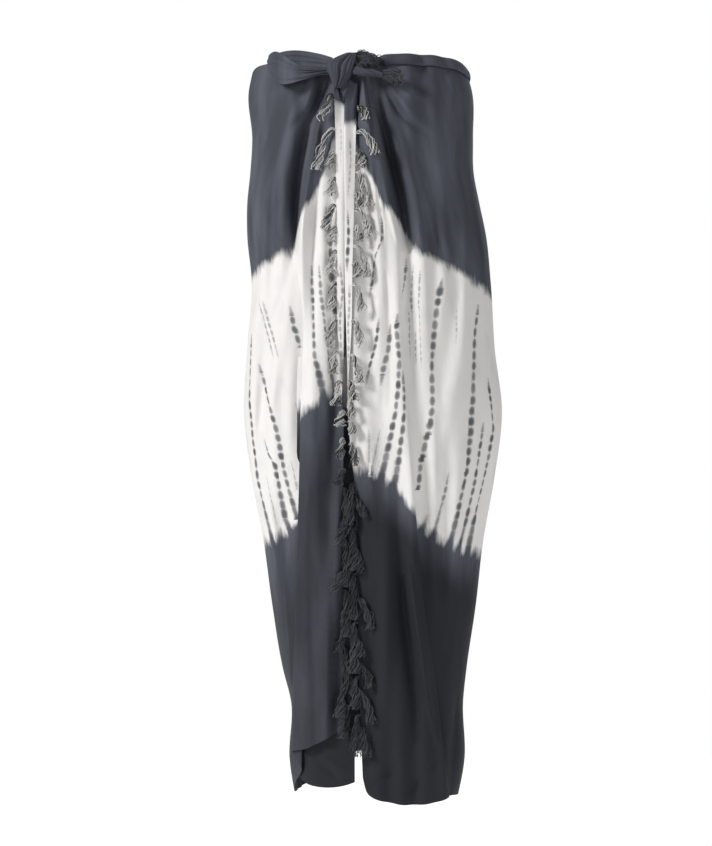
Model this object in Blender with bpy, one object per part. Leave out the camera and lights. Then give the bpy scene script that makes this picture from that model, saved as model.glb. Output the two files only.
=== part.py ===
"""A sarong: one fringed oblong of cloth, wound round under the arms and knotted at the front.

Millimetres in the tables, metres in the meshes. +Z is up and the front faces -Y. The origin
is at the middle of the chest, level with the armpits, where the wearer holds the cloth up.
"""
import math

import bmesh
import bpy
import numpy as np
from mathutils import Vector
from mathutils.bvhtree import BVHTree

MM = 0.001
WALL = 1.5
SEAM_GAP = 0.4
SQUARENESS = 2.3
SECTION_POINTS = 240
ROWS = 30
ROW_CROWDING = 1.12
HEIGHT_STEP = 6
SEAM_ANGLE = 100

# The general figure that fills the cloth: height, left side, right side, front, back
FIGURE = (
    (60, -156, 148, -100, 84),
    (25, -163, 159, -112, 91),
    (0, -168, 166, -116, 95),
    (-72, -163, 168, -122, 98),
    (-120, -166, 169, -124, 100),
    (-168, -171, 178, -121, 100),
    (-216, -171, 188, -118, 100),
    (-288, -164, 195, -118, 103),
    (-384, -170, 200, -122, 115),
    (-480, -175, 211, -125, 124),
    (-576, -164, 200, -122, 122),
    (-672, -146, 183, -114, 114),
    (-768, -133, 172, -106, 103),
    (-864, -117, 158, -99, 94),
    (-912, -105, 153, -96, 90),
    (-1000, -107, 155, -90, 85),
    (-1070, -96, 142, -85, 80),
)

# Heights at which the fold tables give their numbers
LEVELS = (25, -30, -100, -175, -260, -350, -465, -610, -750, -895, -1040)

# Fold lines of the left front, from its fringed edge to the side. Each has its mesh columns
# up to the next line, its top and hem heights, where it runs and how far it stands out from
# the figure at LEVELS. Front lines run at an X, side lines at an angle from the front.
LEFT_FRONT = (
    ("edge", 1, -14, -944, "x", (-39, -38, -36, -35, -34, -34, -26, -27, -28, -28, -28),
     (10, 7.5, 5.5, 4.5, 3.5, 3.5, 9, -4, -5, -6, -6)),
    ("border", 1, -12, -945, "x", (-35, -34, -31, -30, -29, -29, -26, -29, -29, -29, -29),
     (10, 7.5, 5.5, 4.5, 3.5, 3.5, 5.5, -3.5, -4.5, -5.5, -5.5)),
    ("turn_out", 2, -10, -946, "x", (-23, -22.8, -23, -23.7, -24.4, -25, -27, -31, -31, -31, -31),
     (10, 7.5, 5.5, 4.5, 3.5, 3.5, 2, -3, -4, -5, -5)),
    ("turn_in", 1, -8, -948, "x", (-23, -22.8, -23, -23.7, -24.4, -25, -28, -33, -34, -34, -34),
     (6.5, 4, 2, 1, 0, 0, -1, -2, -3, -4, -4)),
    ("inset", 2, -2, -952, "x", (-32, -31, -33, -36, -37, -38, -39, -41, -41, -41, -41),
     (5, 3, 1, 0, -0.5, -0.5, 0, 1, 1, 1, 1)),
    ("crown", 2, 4, -968, "x", (-34, -38, -45, -51, -52, -54, -58, -62, -64, -64, -64),
     (5, 4, 4, 4, 5, 6, 9, 10, 10, 10, 9)),
    ("crease", 2, 8, -977, "x", (-36, -44, -57, -64, -70, -69, -73, -76, -79, -80, -82),
     (3, 2, 1, 1, 2, 4.5, 9, 10, 10, 10, 9)),
    ("fold_out", 2, 14, -981, "x", (-38.5, -52, -68, -80, -84, -81, -86, -89, -93, -96, -98),
     (6, 6, 6, 6, 6, 8, 9, 9, 9, 9, 9)),
    ("fold_in", 1, 17, -986, "x", (-40, -55, -73, -86, -90, -84, -86, -89, -93, -96, -98),
     (2, 1, 0, 0, 0, 1.5, 2.6, 2.6, 2.8, 2.8, 2.8)),
    ("tuck_a", 2, 20, -998, "x", (-42, -59.5, -78, -90, -92, -79, -75, -77, -81, -85, -88),
     (-2, -4, -7, -7, -4, 0.8, 2.4, 2.4, 2.8, 2.8, 2.8)),
    ("tuck_b", 1, 22, -1012, "x", (-44, -65, -84, -95, -95, -81, -75, -77, -81, -85, -88),
     (-3, -5, -8, -8, -6, -2.4, -0.6, -0.6, -0.9, -1.2, -1.2)),
    ("valley", 1, 25, -1026, "x", (-47, -73, -90, -99, -100, -92, -94, -97, -102, -99, -97),
     (-1, -3, -5, -5, -4, -2, 0, 0, 0, 0, 0)),
    ("bank", 2, 28, -1035, "x", (-52, -82, -99, -106, -108, -112, -120, -115, -112, -102, -99),
     (3, 4, 4, 4, 3, 3, 3, 1, 0, 0, 0)),
    ("flank", 2, 31, -1042, "angle", (42, 48, 55, 58, 58, 60, 64, 64, 66, 80, 83),
     (3, 3, 2, 2, 2, 1, 1, 0, 0, 0, 0)),
    ("side_crease", 2, 32, -1046, "angle", (66, 68, 72, 74, 74, 76, 78, 78, 78, 86, 88),
     (0, 0, -1, -3, -3, 0, 0, 0, 0, 0, 0)),
    ("side", 1, 22, -1050, "angle", (90,) * 11, (0,) * 11),
    ("seam", 1, 12, -1051, "angle", (SEAM_ANGLE,) * 11, (0,) * 11),
)

# Fold lines of the right front, from its fringed edge to the side
RIGHT_FRONT = (
    ("edge", 1, -8, -1014, "x", (-6, -6, -8, -10, -12, -13, -18, -8, -6, -3, 3),
     (10.5, 8.5, 6.5, 5.5, 4.5, 3.5, 9, -4, -5, -6, -6)),
    ("border", 1, -5, -1020, "x", (-10, -11, -14, -15.5, -16, -17, -18, -6, -4.5, -2, 4),
     (10.5, 8.5, 6.5, 5.5, 4.5, 3.5, 5.5, -3.5, -4.5, -5.5, -5.5)),
    ("turn_out", 2, 2, -1028, "x", (-20.8, -20.9, -20.7, -21, -21, -20.5, -17, -4.5, -3, 0, 5.5),
     (10.5, 8.5, 6.5, 5.5, 4.5, 3.5, 2, -3, -4, -5, -5)),
    ("turn_in", 1, 7, -1036, "x", (-20.8, -20.9, -20.7, -21, -21, -20.5, -16, -2.5, -1, 2, 7.5),
     (7, 5, 3, 2, 1, 0, -1, -2, -3, -4, -4)),
    ("hollow", 2, 15, -1044, "x", (-9, -7, -2, 0, 1, 1, 2.5, 5.5, 8.5, 10, 14),
     (4, 2, 0, -1, -1, 0, 1, 1, 1, 1, 0)),
    ("crown", 2, 22, -1051, "x", (-4, 5, 15, 22, 26, 29, 31, 33, 34.5, 36, 39),
     (6, 6, 5, 4, 4, 5, 6, 6, 6, 5, 3)),
    ("crease", 2, 25, -1056, "x", (0, 10, 19, 28, 35, 40, 46, 54, 62, 74, 76),
     (2, 1, 0, 0, 1, 2, 4, 4, 1.5, -1, 2)),
    ("roll", 2, 28, -1053, "x", (4, 14, 24.5, 37, 44.5, 49, 56, 67, 77, 96, 110),
     (5, 5, 6, 6, 6, 7, 9, 9.5, 9.5, 8, 6)),
    ("fold_out", 2, 29, -1046, "x", (8, 18.5, 29, 43, 53, 57.5, 65, 77, 89, 108, 126),
     (4, 4, 5, 5, 5, 7, 9, 9, 9, 9, 9.5)),
    ("fold_in", 1, 30, -1045, "x", (10, 21.5, 32.5, 48, 58, 60, 65, 77, 89, 108, 126),
     (1, 0, -1, -1, -0.5, 1.2, 2.6, 2.6, 2.6, 2.6, 2.6)),
    ("tuck_a", 2, 31, -1045, "x", (12, 24.5, 37.5, 56, 62, 56, 53, 64, 76, 95, 113),
     (-3, -5, -8, -8, -5, 0.6, 2.4, 2.4, 2.4, 2.4, 2.2)),
    ("tuck_b", 1, 32, -1046, "x", (15, 28.5, 44.5, 63, 68, 58, 53, 64, 76, 95, 113),
     (-4, -6, -9, -9, -7, -2.6, -0.6, -0.6, -0.6, -0.6, -0.6)),
    ("valley", 1, 33, -1047, "x", (18, 34, 51, 69, 73, 69, 73, 86, 99, 117, 134),
     (-1, -3, -5, -5, -4, -2, 0, 0, 0, 0, 0)),
    ("bank", 2, 34, -1048, "x", (24, 42, 61, 79, 88, 93, 99, 111, 122, 131, 138),
     (3, 5, 5, 5, 4, 2, 1, 1, 1, 1, 0)),
    ("slack", 2, 36, -1049, "x", (38, 62, 80, 97, 118, 124, 128, 134, 136, 139, 141),
     (0, -2, -2, -3, -2, 0, 0, 0, 0, 0, 0)),
    ("chest", 2, 38, -1050, "angle", (38, 42, 45, 47, 52, 54, 54, 58, 62, 72, 81),
     (3, 3, 3, 3, 2, 1, 1, 0, 0, 0, 0)),
    ("side_crease", 2, 35, -1051, "angle", (62, 66, 70, 72, 74, 74, 74, 75, 77, 82, 86),
     (0, 0, -2, -3, -3, 0, 0, 0, 0, 0, 0)),
    ("side", 1, 23, -1052, "angle", (90,) * 11, (0,) * 11),
    ("seam", 1, 13, -1053, "angle", (SEAM_ANGLE,) * 11, (0,) * 11),
)

# The pleat's lower layer behind the left front, from the slit to the side
LEFT_UNDER = (
    ("edge", 1, -400, -1023, "x", (-11,) * 11, (-13,) * 11),
    ("slit", 2, -400, -1029, "x", (-27,) * 11, (-13,) * 11),
    ("middle", 2, -400, -1032, "x", (-46,) * 11, (-8,) * 11),
    ("pleat", 2, -400, -1032, "x", (-68,) * 11, (-4,) * 11),
    ("tucked", 2, -400, -1028, "x", (-86, -86, -86, -86, -86, -86, -84, -85, -88, -89, -88),
     (-3.6, -3.6, -3.6, -3.6, -3.6, -3.6, -3.2, -3.2, -3.4, -3.8, -3.8)),
    ("end", 1, -400, -1018, "x", (-96, -96, -96, -96, -96, -96, -94, -96, -99, -97, -95),
     (-3.6, -3.6, -3.6, -3.6, -3.6, -3.6, -3.0, -3.0, -3.2, -3.8, -3.8)),
)

# Soft folds of the back: angle round from the front, hem height, stand-out at top and at hem
BACK_FOLDS = (
    (SEAM_ANGLE, -1051, 0, 0),
    (112, -1050, 0, 1),
    (124, -1046, 3, 6),
    (136, -1034, -2, -5),
    (149, -1016, 2, 6),
    (162, -1003, -2, -5),
    (176, -998, 1, 5),
    (190, -1000, -2, -6),
    (203, -1010, 2, 4),
    (216, -1022, -1, -5),
    (229, -1038, 2, 6),
    (243, -1049, 0, 1),
    (360 - SEAM_ANGLE, -1053, 0, 0),
)
BACK_TOP = (12, 8, 3, 0, -2, -3, -3, -3, -2, 0, 4, 9, 13)

# Bow loop left of the knot, as stations of its middle: X, stand-out, low and high edge
LOOP = (
    (-47.8, 18, 7, 16),
    (-63, 21, 3, 14),
    (-76, 24, -2, 16),
    (-90, 27, -7, 25),
    (-103, 26, -9, 38),
    (-114, 22, -3, 45),
    (-124, 17, 7, 41),
    (-129, 12, 15, 37),
    (-124, 7.5, 17, 41),
    (-112, 6.5, 18, 45),
    (-98, 6.5, 20, 46),
    (-82, 7, 20, 44),
    (-66, 7.5, 21, 40),
    (-52, 8, 22, 36),
    (-40, 8, 24, 31),
)

LOOP_COLUMNS = 28
LOOP_PUFF = 1.5

# The turn of cloth over the knot: height, left and right ends, depth, from the top down
KNOT = (
    (37, -22, -7, 7),
    (31, -36, -6, 14),
    (21, -50, -8, 19),
    (9, -47, -11, 20),
    (-3, -41, -18, 16),
    (-15, -38, -28, 9),
)
KNOT_BACK = 11.3
KNOT_PLEATS = (0.0, 0.62, 0.86, 0.97, 1.0, 0.98, 1.0, 0.80, 0.97, 0.76, 0.92, 0.66, 0.0)

# The twisted corner that comes out on the right: X, height, stand-out, radius
TAIL = (
    (-10.8, 10, 19, 6.2),
    (2, 8, 20, 6.6),
    (12, 6.5, 20, 5.8),
    (22, 5, 19, 5.0),
    (29, 4, 18, 4.2),
)
# The other corner's tip, hanging under the knot
TIP = (
    (-35, -16.2, 17, 3.0),
    (-35.5, -20, 16.5, 4.4),
    (-34, -26, 15.5, 4.6),
    (-31.5, -32, 14.5, 2.6),
)

ROPE_TWIST = 0.35

# Rolled top border on the right, from the panel: rise above the top edge, stand-out
BORDER_ROLL = (
    (1.5, 0.6),
    (3.0, 3.4),
    (-1.5, 6.2),
    (-8.0, 6.6),
    (-14.0, 4.8),
    (-15.5, 1.2),
    (-7.0, 0.6),
)

# Fringe locks: root height, sideways reach of the tip away from the slit, drop, lift off the
# cloth. A reach of 0 hangs straight in its own lane beside the strip.
LEFT_LOCKS = (
    (-26, 14, 40, 2), (-74, 26, 64, 2), (-110, 8, 26, 1), (-146, 8, 28, 1), (-184, 14, 40, 2),
    (-216, 7, 24, 1), (-250, 10, 36, 2), (-296, 9, 38, 2), (-346, 9, 42, 2), (-396, 8, 34, 3),
    (-440, 7, 34, 3), (-484, 7, 18, 4), (-522, 7, 30, 3), (-567, 14, 26, 4), (-592, 0, 56, 1),
    (-640, 7, 34, 3), (-664, 0, 60, 1), (-716, 16, 28, 4), (-740, 0, 66, 1), (-800, 8, 36, 3),
    (-822, 0, 64, 1), (-882, 8, 44, 4), (-908, 0, 60, 1), (-930, 6, 26, 4),
)
RIGHT_LOCKS = (
    (-44, 16, 24, 2), (-78, 30, 42, 2), (-108, 7, 22, 1), (-136, 15, 50, 2), (-168, 7, 20, 1),
    (-190, 22, 38, 2), (-216, 7, 20, 1), (-242, 20, 50, 2), (-268, 7, 22, 1), (-298, 11, 42, 2),
    (-350, 10, 42, 2), (-400, 12, 42, 3), (-440, 9, 24, 3), (-470, 8, 20, 3), (-496, 8, 20, 3),
    (-528, 9, 34, 3),
    (-584, 0, 56, 6), (-608, 20, 32, 4), (-650, 0, 52, 6), (-680, 9, 36, 3), (-716, 0, 60, 6),
    (-752, 27, 44, 4), (-786, 0, 66, 6), (-812, 9, 30, 3), (-846, 24, 42, 4), (-866, 0, 46, 6),
    (-884, 25, 62, 5), (-922, 0, 62, 6), (-940, 13, 44, 4),
)

# The fringe's strip: its gap to the cloth, its width, and the length that a lock's root takes
STRIP_GAP = 0.6
STRIP_WIDTH = 2.4
LOCK_ROOT = 5.0

# A lock starts this far out of the strip. It is laid over the cloth at these shares of its
# way, or hangs in its lane, and its radius is multiplied by the sizes from root to tip.
LOCK_START = 2.2
LOCK_RADIUS = 1.6
LAID_SHARES = (0.12, 0.4, 0.72, 1.0)
LAID_SIZES = (0, 0.7, 0.8, 1.0, 1.0, 0.6)
LANE = 5.7
LANE_DROP = 3.5
HANGING_SHARES = (0.5, 1)
HANGING_SIZES = (0, 0.7, 0.9, 1.0, 0.6)

# Locks of the two tied corners: root height, reach to the right, rise on the way, drop
TUFT_LOCKS = ((33, 26, 5, 3), (29, 42, 4, 4), (25, 30, 3, 4), (21, 44, 2, 4), (17, 24, 0, 3))
FAN_LOCKS = ((9, 32, 3, 2), (5.5, 38, 2, 6), (2, 34, 0, 9), (-1.5, 24, -1, 10))
TAIL_ROOT = 2.4
TAIL_LOCK_RADIUS = 1.2
TAIL_SHARES = (0.35, 0.7, 1.0)
TAIL_SIZES = (0, 0.8, 1.0, 1.0, 0.5)

DARK_DYE = (0.060, 0.064, 0.078)
MIXED_DYE = (0.33, 0.33, 0.34)


def smooth(levels, values, at):
    """Cubic curve through a table's column, read at one or more heights."""
    low_first = np.asarray(levels, float)[::-1]
    column = np.asarray(values, float)[::-1]
    slopes = np.gradient(column, low_first)
    height = np.clip(at, low_first[0], low_first[-1])
    index = np.clip(np.searchsorted(low_first, height, "right") - 1, 0, len(column) - 2)
    span = low_first[index + 1] - low_first[index]
    part = (height - low_first[index]) / span
    rest = 1 - part
    start = (1 + 2 * part) * rest ** 2 * column[index] + part * rest ** 2 * span * slopes[index]
    end = part ** 2 * (3 - 2 * part) * column[index + 1]
    return start + end - part ** 2 * rest * span * slopes[index + 1]


def spline(values, at):
    """Uniform cubic B-spline through the first and last of a row of control values."""
    values = np.asarray(values, float)
    ends = np.concatenate(([2 * values[0] - values[1]], values, [2 * values[-1] - values[-2]]))
    index = np.clip(np.floor(at).astype(int), 0, len(values) - 2)
    part = at - index
    weights = ((1 - part) ** 3, 3 * part ** 3 - 6 * part ** 2 + 4,
               -3 * part ** 3 + 3 * part ** 2 + 3 * part + 1, part ** 3)
    return sum(weight * ends[index + shift] for shift, weight in enumerate(weights)) / 6


def figure_section(height):
    """Angles, points, outward normals and running length of the figure at one height."""
    heights = [row[0] for row in FIGURE]
    left, right, front, back = (smooth(heights, [row[k] for row in FIGURE], height)
                                for k in (1, 2, 3, 4))
    angles = np.linspace(-180, 180, SECTION_POINTS + 1)
    across = np.sin(np.radians(angles))
    along = np.cos(np.radians(angles))
    power = 2 / SQUARENESS
    x = (left + right) / 2 + (right - left) / 2 * np.sign(across) * np.abs(across) ** power
    depth = np.where(along > 0, -front, back)
    y = -depth * np.sign(along) * np.abs(along) ** power
    step = np.hypot(np.diff(x), np.diff(y))
    length = np.concatenate(([0], np.cumsum(step)))
    length -= np.interp(0, angles, length)
    tangent_x = np.gradient(x, length)
    tangent_y = np.gradient(y, length)
    size = np.hypot(tangent_x, tangent_y)
    return angles, x, y, tangent_y / size, -tangent_x / size, length


def on_figure(section, run, out):
    """Points at running lengths on a section, moved out."""
    _, x, y, normal_x, normal_y, length = section
    return (np.interp(run, length, x) + out * np.interp(run, length, normal_x),
            np.interp(run, length, y) + out * np.interp(run, length, normal_y))


def run_at(section, kind, where, side):
    """Running length of an X on the front, or of an angle from the front."""
    angles, x, _, _, _, length = section
    if kind == "angle":
        return np.interp(side * where, angles, length)
    front = np.abs(angles) <= 90
    return np.interp(where, x[front], length[front])


def place(x, height, out):
    """World point in front of the figure, moved out from it."""
    section = figure_section(height)
    px, py = on_figure(section, run_at(section, "x", x, 1), out)
    return Vector((float(px), float(py), height)) * MM


def columns_of(table):
    """Spline positions of the mesh columns, with each line's own number up to the next."""
    marks = [k + j / row[1] for k, row in enumerate(table[:-1]) for j in range(row[1])]
    return np.array(marks + [len(table) - 1])


def panel_points(table, side, rows):
    """Grid of points of a panel, row by row from its top edge to its hem."""
    marks = columns_of(table)
    tops = spline([row[2] for row in table], marks)
    hems = spline([row[3] for row in table], marks)
    heights = np.arange(tops.max() + HEIGHT_STEP, hems.min() - HEIGHT_STEP, -HEIGHT_STEP)
    plan = np.zeros((len(heights), len(marks), 2))
    for level, height in enumerate(heights):
        section = figure_section(height)
        runs = [run_at(section, row[4], smooth(LEVELS, row[5], height), side) for row in table]
        outs = [smooth(LEVELS, row[6], height) for row in table]
        plan[level, :, 0], plan[level, :, 1] = on_figure(
            section, spline(runs, marks), spline(outs, marks))
    share = np.linspace(0, 1, rows + 1) ** ROW_CROWDING
    points = np.zeros((rows + 1, len(marks), 3))
    for column, (top, hem) in enumerate(zip(tops, hems)):
        height = top + share * (hem - top)
        points[:, column, 0] = np.interp(-height, -heights, plan[:, column, 0])
        points[:, column, 1] = np.interp(-height, -heights, plan[:, column, 1])
        points[:, column, 2] = height
    return points


def back_points():
    """Grid of points of the back, from the left seam round to the right one."""
    marks = np.linspace(0, len(BACK_FOLDS) - 1, 2 * len(BACK_FOLDS) - 1)
    tops = spline(BACK_TOP, marks)
    hems = spline([row[1] for row in BACK_FOLDS], marks)
    share = np.linspace(0, 1, ROWS + 1) ** ROW_CROWDING
    points = np.zeros((ROWS + 1, len(marks), 3))
    for column, mark in enumerate(marks):
        for row, part in enumerate(share):
            height = tops[column] + part * (hems[column] - tops[column])
            section = figure_section(height)
            angles, _, _, _, _, length = section
            start = np.interp(-SEAM_ANGLE, angles, length)
            end = np.interp(SEAM_ANGLE, angles, length)
            girth = length[-1] - length[0]
            runs = [np.interp(-fold[0] if fold[0] <= 180 else 360 - fold[0], angles, length)
                    for fold in BACK_FOLDS]
            runs = [run if run < 0 else run - girth for run in runs]
            runs[0] = start - SEAM_GAP
            runs[-1] = end - girth + SEAM_GAP
            outs = [fold[2] + part * (fold[3] - fold[2]) for fold in BACK_FOLDS]
            run = float(spline(runs, np.array([mark]))[0])
            out = float(spline(outs, np.array([mark]))[0])
            wrapped = run if run >= length[0] else run + girth
            points[row, column, :2] = on_figure(section, wrapped, out)
            points[row, column, 2] = height
    return points


def grid_normals(points, side):
    """Unit normals on a grid's outer side. Side is 1 where its columns run to the right."""
    down = np.gradient(points, axis=0)
    along = np.gradient(points, axis=1, edge_order=2)
    normals = -side * np.cross(along, down)
    return normals / np.linalg.norm(normals, axis=2, keepdims=True)


def wall_from_grid(name, outer, normals, color):
    """Closed wall between a grid of outer points and the same grid moved in."""
    rows, columns = outer.shape[:2]
    inner = outer - WALL * normals
    mesh = bmesh.new()
    front = [[mesh.verts.new(Vector(p) * MM) for p in line] for line in outer]
    rear = [[mesh.verts.new(Vector(p) * MM) for p in line] for line in inner]
    for r in range(rows - 1):
        for c in range(columns - 1):
            mesh.faces.new((front[r][c], front[r][c + 1], front[r + 1][c + 1], front[r + 1][c]))
            mesh.faces.new((rear[r][c], rear[r + 1][c], rear[r + 1][c + 1], rear[r][c + 1]))
    for r in range(rows - 1):
        for c in (0, columns - 1):
            mesh.faces.new((front[r][c], front[r + 1][c], rear[r + 1][c], rear[r][c]))
    for c in range(columns - 1):
        for r in (0, rows - 1):
            mesh.faces.new((front[r][c], front[r][c + 1], rear[r][c + 1], rear[r][c]))
    return finish(name, mesh, color)


def finish(name, mesh, color):
    """Object from a closed bmesh, with its faces out, smooth and in its own material."""
    bmesh.ops.recalc_face_normals(mesh, faces=mesh.faces)
    data = bpy.data.meshes.new(name)
    mesh.to_mesh(data)
    mesh.free()
    data.shade_smooth()
    data.set_sharp_from_angle(angle=math.radians(50))
    material = bpy.data.materials.new(name)
    material.use_nodes = True
    shader = material.node_tree.nodes["Principled BSDF"]
    shader.inputs["Base Color"].default_value = (*color, 1)
    shader.inputs["Roughness"].default_value = 0.8
    shader.inputs["Metallic"].default_value = 0
    data.materials.append(material)
    thing = bpy.data.objects.new(name, data)
    bpy.context.scene.collection.objects.link(thing)
    return thing


def bridge(mesh, rings):
    """Side faces between successive closed rings of vertices."""
    for first, second in zip(rings, rings[1:]):
        count = len(first)
        for k in range(count):
            after = (k + 1) % count
            mesh.faces.new((first[k], first[after], second[after], second[k]))


def carry_frame(points, up):
    """Two axes across a path at each of its points, carried along without twisting."""
    frames = []
    ahead = (points[1] - points[0]).normalized()
    axis = (up - up.dot(ahead) * ahead).normalized()
    for k, point in enumerate(points):
        before = points[max(k - 1, 0)]
        after = points[min(k + 1, len(points) - 1)]
        new_ahead = (after - before).normalized()
        turn = ahead.rotation_difference(new_ahead)
        axis = (turn @ axis).normalized()
        ahead = new_ahead
        frames.append((axis.copy(), ahead.cross(axis)))
    return frames


def rope(name, stations, sides, grooves, color):
    """Twisted round length of cloth through stations of X, height, stand-out and radius."""
    marks = np.linspace(0, len(stations) - 1, 2 * len(stations) - 1)
    x, height, out, radius = (spline([row[k] for row in stations], marks) for k in range(4))
    points = [place(*values) for values in zip(x, height, out)]
    mesh = bmesh.new()
    rings = []
    for number, (point, (up, side)) in enumerate(zip(points, carry_frame(points, Vector((0, 0, 1))))):
        ring = []
        for k in range(sides):
            angle = 2 * math.pi * k / sides
            reach = float(radius[number]) * MM * (1 - grooves * (k % 2))
            spin = angle + ROPE_TWIST * number
            ring.append(mesh.verts.new(point + reach * (math.cos(spin) * up + math.sin(spin) * side)))
        rings.append(ring)
    bridge(mesh, rings)
    mesh.faces.new(rings[0])
    mesh.faces.new(rings[-1])
    return finish(name, mesh, color)


def knot_band():
    """Turn of cloth over the knot: flat behind, full and pleated in front."""
    marks = np.linspace(0, len(KNOT) - 1, 9)
    height, left, right, depth = (spline([row[k] for row in KNOT], marks) for k in range(4))
    mesh = bmesh.new()
    rings = []
    for level in range(len(marks)):
        count = len(KNOT_PLEATS) - 1
        ring = []
        for k, pleat in enumerate(KNOT_PLEATS):
            x = left[level] + (right[level] - left[level]) * k / count
            ring.append(mesh.verts.new(place(x, height[level], KNOT_BACK + 2 + pleat * depth[level])))
        for k in (count, count // 2, 0):
            x = left[level] + (right[level] - left[level]) * k / count
            ring.append(mesh.verts.new(place(x, height[level], KNOT_BACK)))
        rings.append(ring)
    bridge(mesh, rings)
    mesh.faces.new(rings[0])
    mesh.faces.new(rings[-1])
    return finish("knot_band", mesh, DARK_DYE)


def bow_loop():
    """Hollow loop of the folded top border, open towards the knot and above."""
    marks = np.linspace(0, len(LOOP) - 1, LOOP_COLUMNS + 1)
    x, out, low, high = (spline([row[k] for row in LOOP], marks) for k in range(4))
    across = np.linspace(0, 1, 5)
    puff = LOOP_PUFF * np.sin(np.pi * across)
    points = np.zeros((len(across), len(marks), 3))
    for station in range(len(marks)):
        side = 1 if station <= LOOP_COLUMNS / 2 else -1
        for level, part in enumerate(across):
            height = high[station] + part * (low[station] - high[station])
            points[level, station] = place(x[station], height, out[station] + side * puff[level]) / MM
    return wall_from_grid("loop", points, grid_normals(points, -1), DARK_DYE)


def border_roll(points, normals, table):
    """Top border rolled over on the right, laid on the panel's own points."""
    first = int(np.searchsorted(columns_of(table), [row[0] for row in table].index("slack")))
    mesh = bmesh.new()
    rings = []
    for column in range(first, points.shape[1] - 1):
        top = points[0, column]
        ring = []
        for rise, out in BORDER_ROLL:
            height = top[2] + rise
            at = [np.interp(-height, -points[:, column, 2], points[:, column, k]) for k in (0, 1)]
            offset = normals[1, column] * out
            ring.append(mesh.verts.new(Vector((at[0] + offset[0], at[1] + offset[1], height)) * MM))
        rings.append(ring)
    bridge(mesh, rings)
    mesh.faces.new(rings[0])
    mesh.faces.new(rings[-1])
    return finish("right_roll", mesh, DARK_DYE)


def surface_finder(things):
    """Function that gives the foremost Y of the cloth at an X and a height."""
    mesh = bmesh.new()
    for thing in things:
        mesh.from_mesh(thing.data)
    tree = BVHTree.FromBMesh(mesh)
    mesh.free()

    def foremost(x, height, spread):
        hits = []
        for shift_x in (-spread, 0, spread):
            for shift_z in (-spread, 0, spread):
                origin = Vector((x + shift_x, -1, height + shift_z))
                place_hit = tree.ray_cast(origin, Vector((0, 1, 0)))[0]
                if place_hit is not None and place_hit.y < 0:
                    hits.append(place_hit.y)
        return min(hits) if hits else 0.0
    return foremost


def strip_corners(points, normals, height):
    """Corners of the fringe's narrow strip at one height, and the way that it points."""
    def read(grid):
        return Vector([float(np.interp(-height, -points[:, 0, 2], grid[:, k])) for k in range(3)])
    ahead = read(points[:, 0]) - read(points[:, 1])
    ahead.z = 0
    ahead.normalize()
    inward = -read(normals[:, 0])
    inward.z = 0
    inward.normalize()
    near = read(points[:, 0]) + STRIP_GAP * ahead
    far = near + STRIP_WIDTH * ahead
    corners = (near, far, far + WALL * inward, near + WALL * inward)
    return [corner * MM for corner in corners], ahead


def lock_path(root, ahead, away, lock, foremost):
    """Points of one lock and their sizes: out of the strip, forward, then down over the cloth."""
    _, reach, drop, lift = lock
    beside = math.copysign(1, ahead.x)
    start = root + ahead * LOCK_START * MM
    if reach == 0:
        lane = Vector((root.x + beside * LANE * MM, root.y - lift * MM, start.z - LANE_DROP * MM))
        ends = [lane + Vector((0, -0.3 * part, -part * (drop - 4))) * MM for part in HANGING_SHARES]
        return [root, start, lane] + ends, HANGING_SIZES
    path = [root, start]
    for part in LAID_SHARES:
        x = start.x + away * reach * (math.sin(part * math.pi / 2) - 0.1) * MM
        z = start.z - drop * part ** 1.2 * MM
        clear = LOCK_RADIUS + 1.0 + lift * part
        path.append(Vector((x, min(foremost(x, z, LOCK_RADIUS * MM), start.y) - clear * MM, z)))
    return path, LAID_SIZES


def fringe(name, points, locks, away, foremost):
    """Narrow strip just off a panel's fringed edge, with the locks growing out of it."""
    normals = grid_normals(points, away)
    marks = [lock[0] + half for lock in locks for half in (LOCK_ROOT / 2, -LOCK_ROOT / 2)]
    sections = [strip_corners(points, normals, mark) for mark in marks]

    def path_of(root, number):
        return lock_path(root, sections[2 * number][1], away, locks[number], foremost)
    corners = [section[0] for section in sections]
    return strip_and_locks(name, corners, path_of, LOCK_RADIUS, MIXED_DYE)


def tail_fringe(name, x, out, locks, foremost):
    """Short strip at the end of a tied corner, with its locks lying to the right."""
    marks = [lock[0] + half for lock in locks for half in (TAIL_ROOT / 2, -TAIL_ROOT / 2)]
    corners = []
    for mark in marks:
        near = place(x, mark, out)
        across = Vector((STRIP_WIDTH, 0, 0)) * MM
        depth = Vector((0, WALL, 0)) * MM
        corners.append((near, near + across, near + across + depth, near + depth))

    def path_of(root, number):
        _, reach, rise, drop = locks[number]
        path = [root, root + Vector((LOCK_START, 0, 0)) * MM]
        for part in TAIL_SHARES:
            x_now = root.x + reach * part * MM
            z_now = root.z + (rise * math.sin(part * math.pi) - drop * part ** 2) * MM
            clear = (TAIL_LOCK_RADIUS + 1) * MM
            y_now = min(foremost(x_now, z_now, clear) - clear, root.y + 6 * part * MM)
            path.append(Vector((x_now, y_now, z_now)))
        return path, TAIL_SIZES
    return strip_and_locks(name, corners, path_of, TAIL_LOCK_RADIUS, DARK_DYE)


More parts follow.
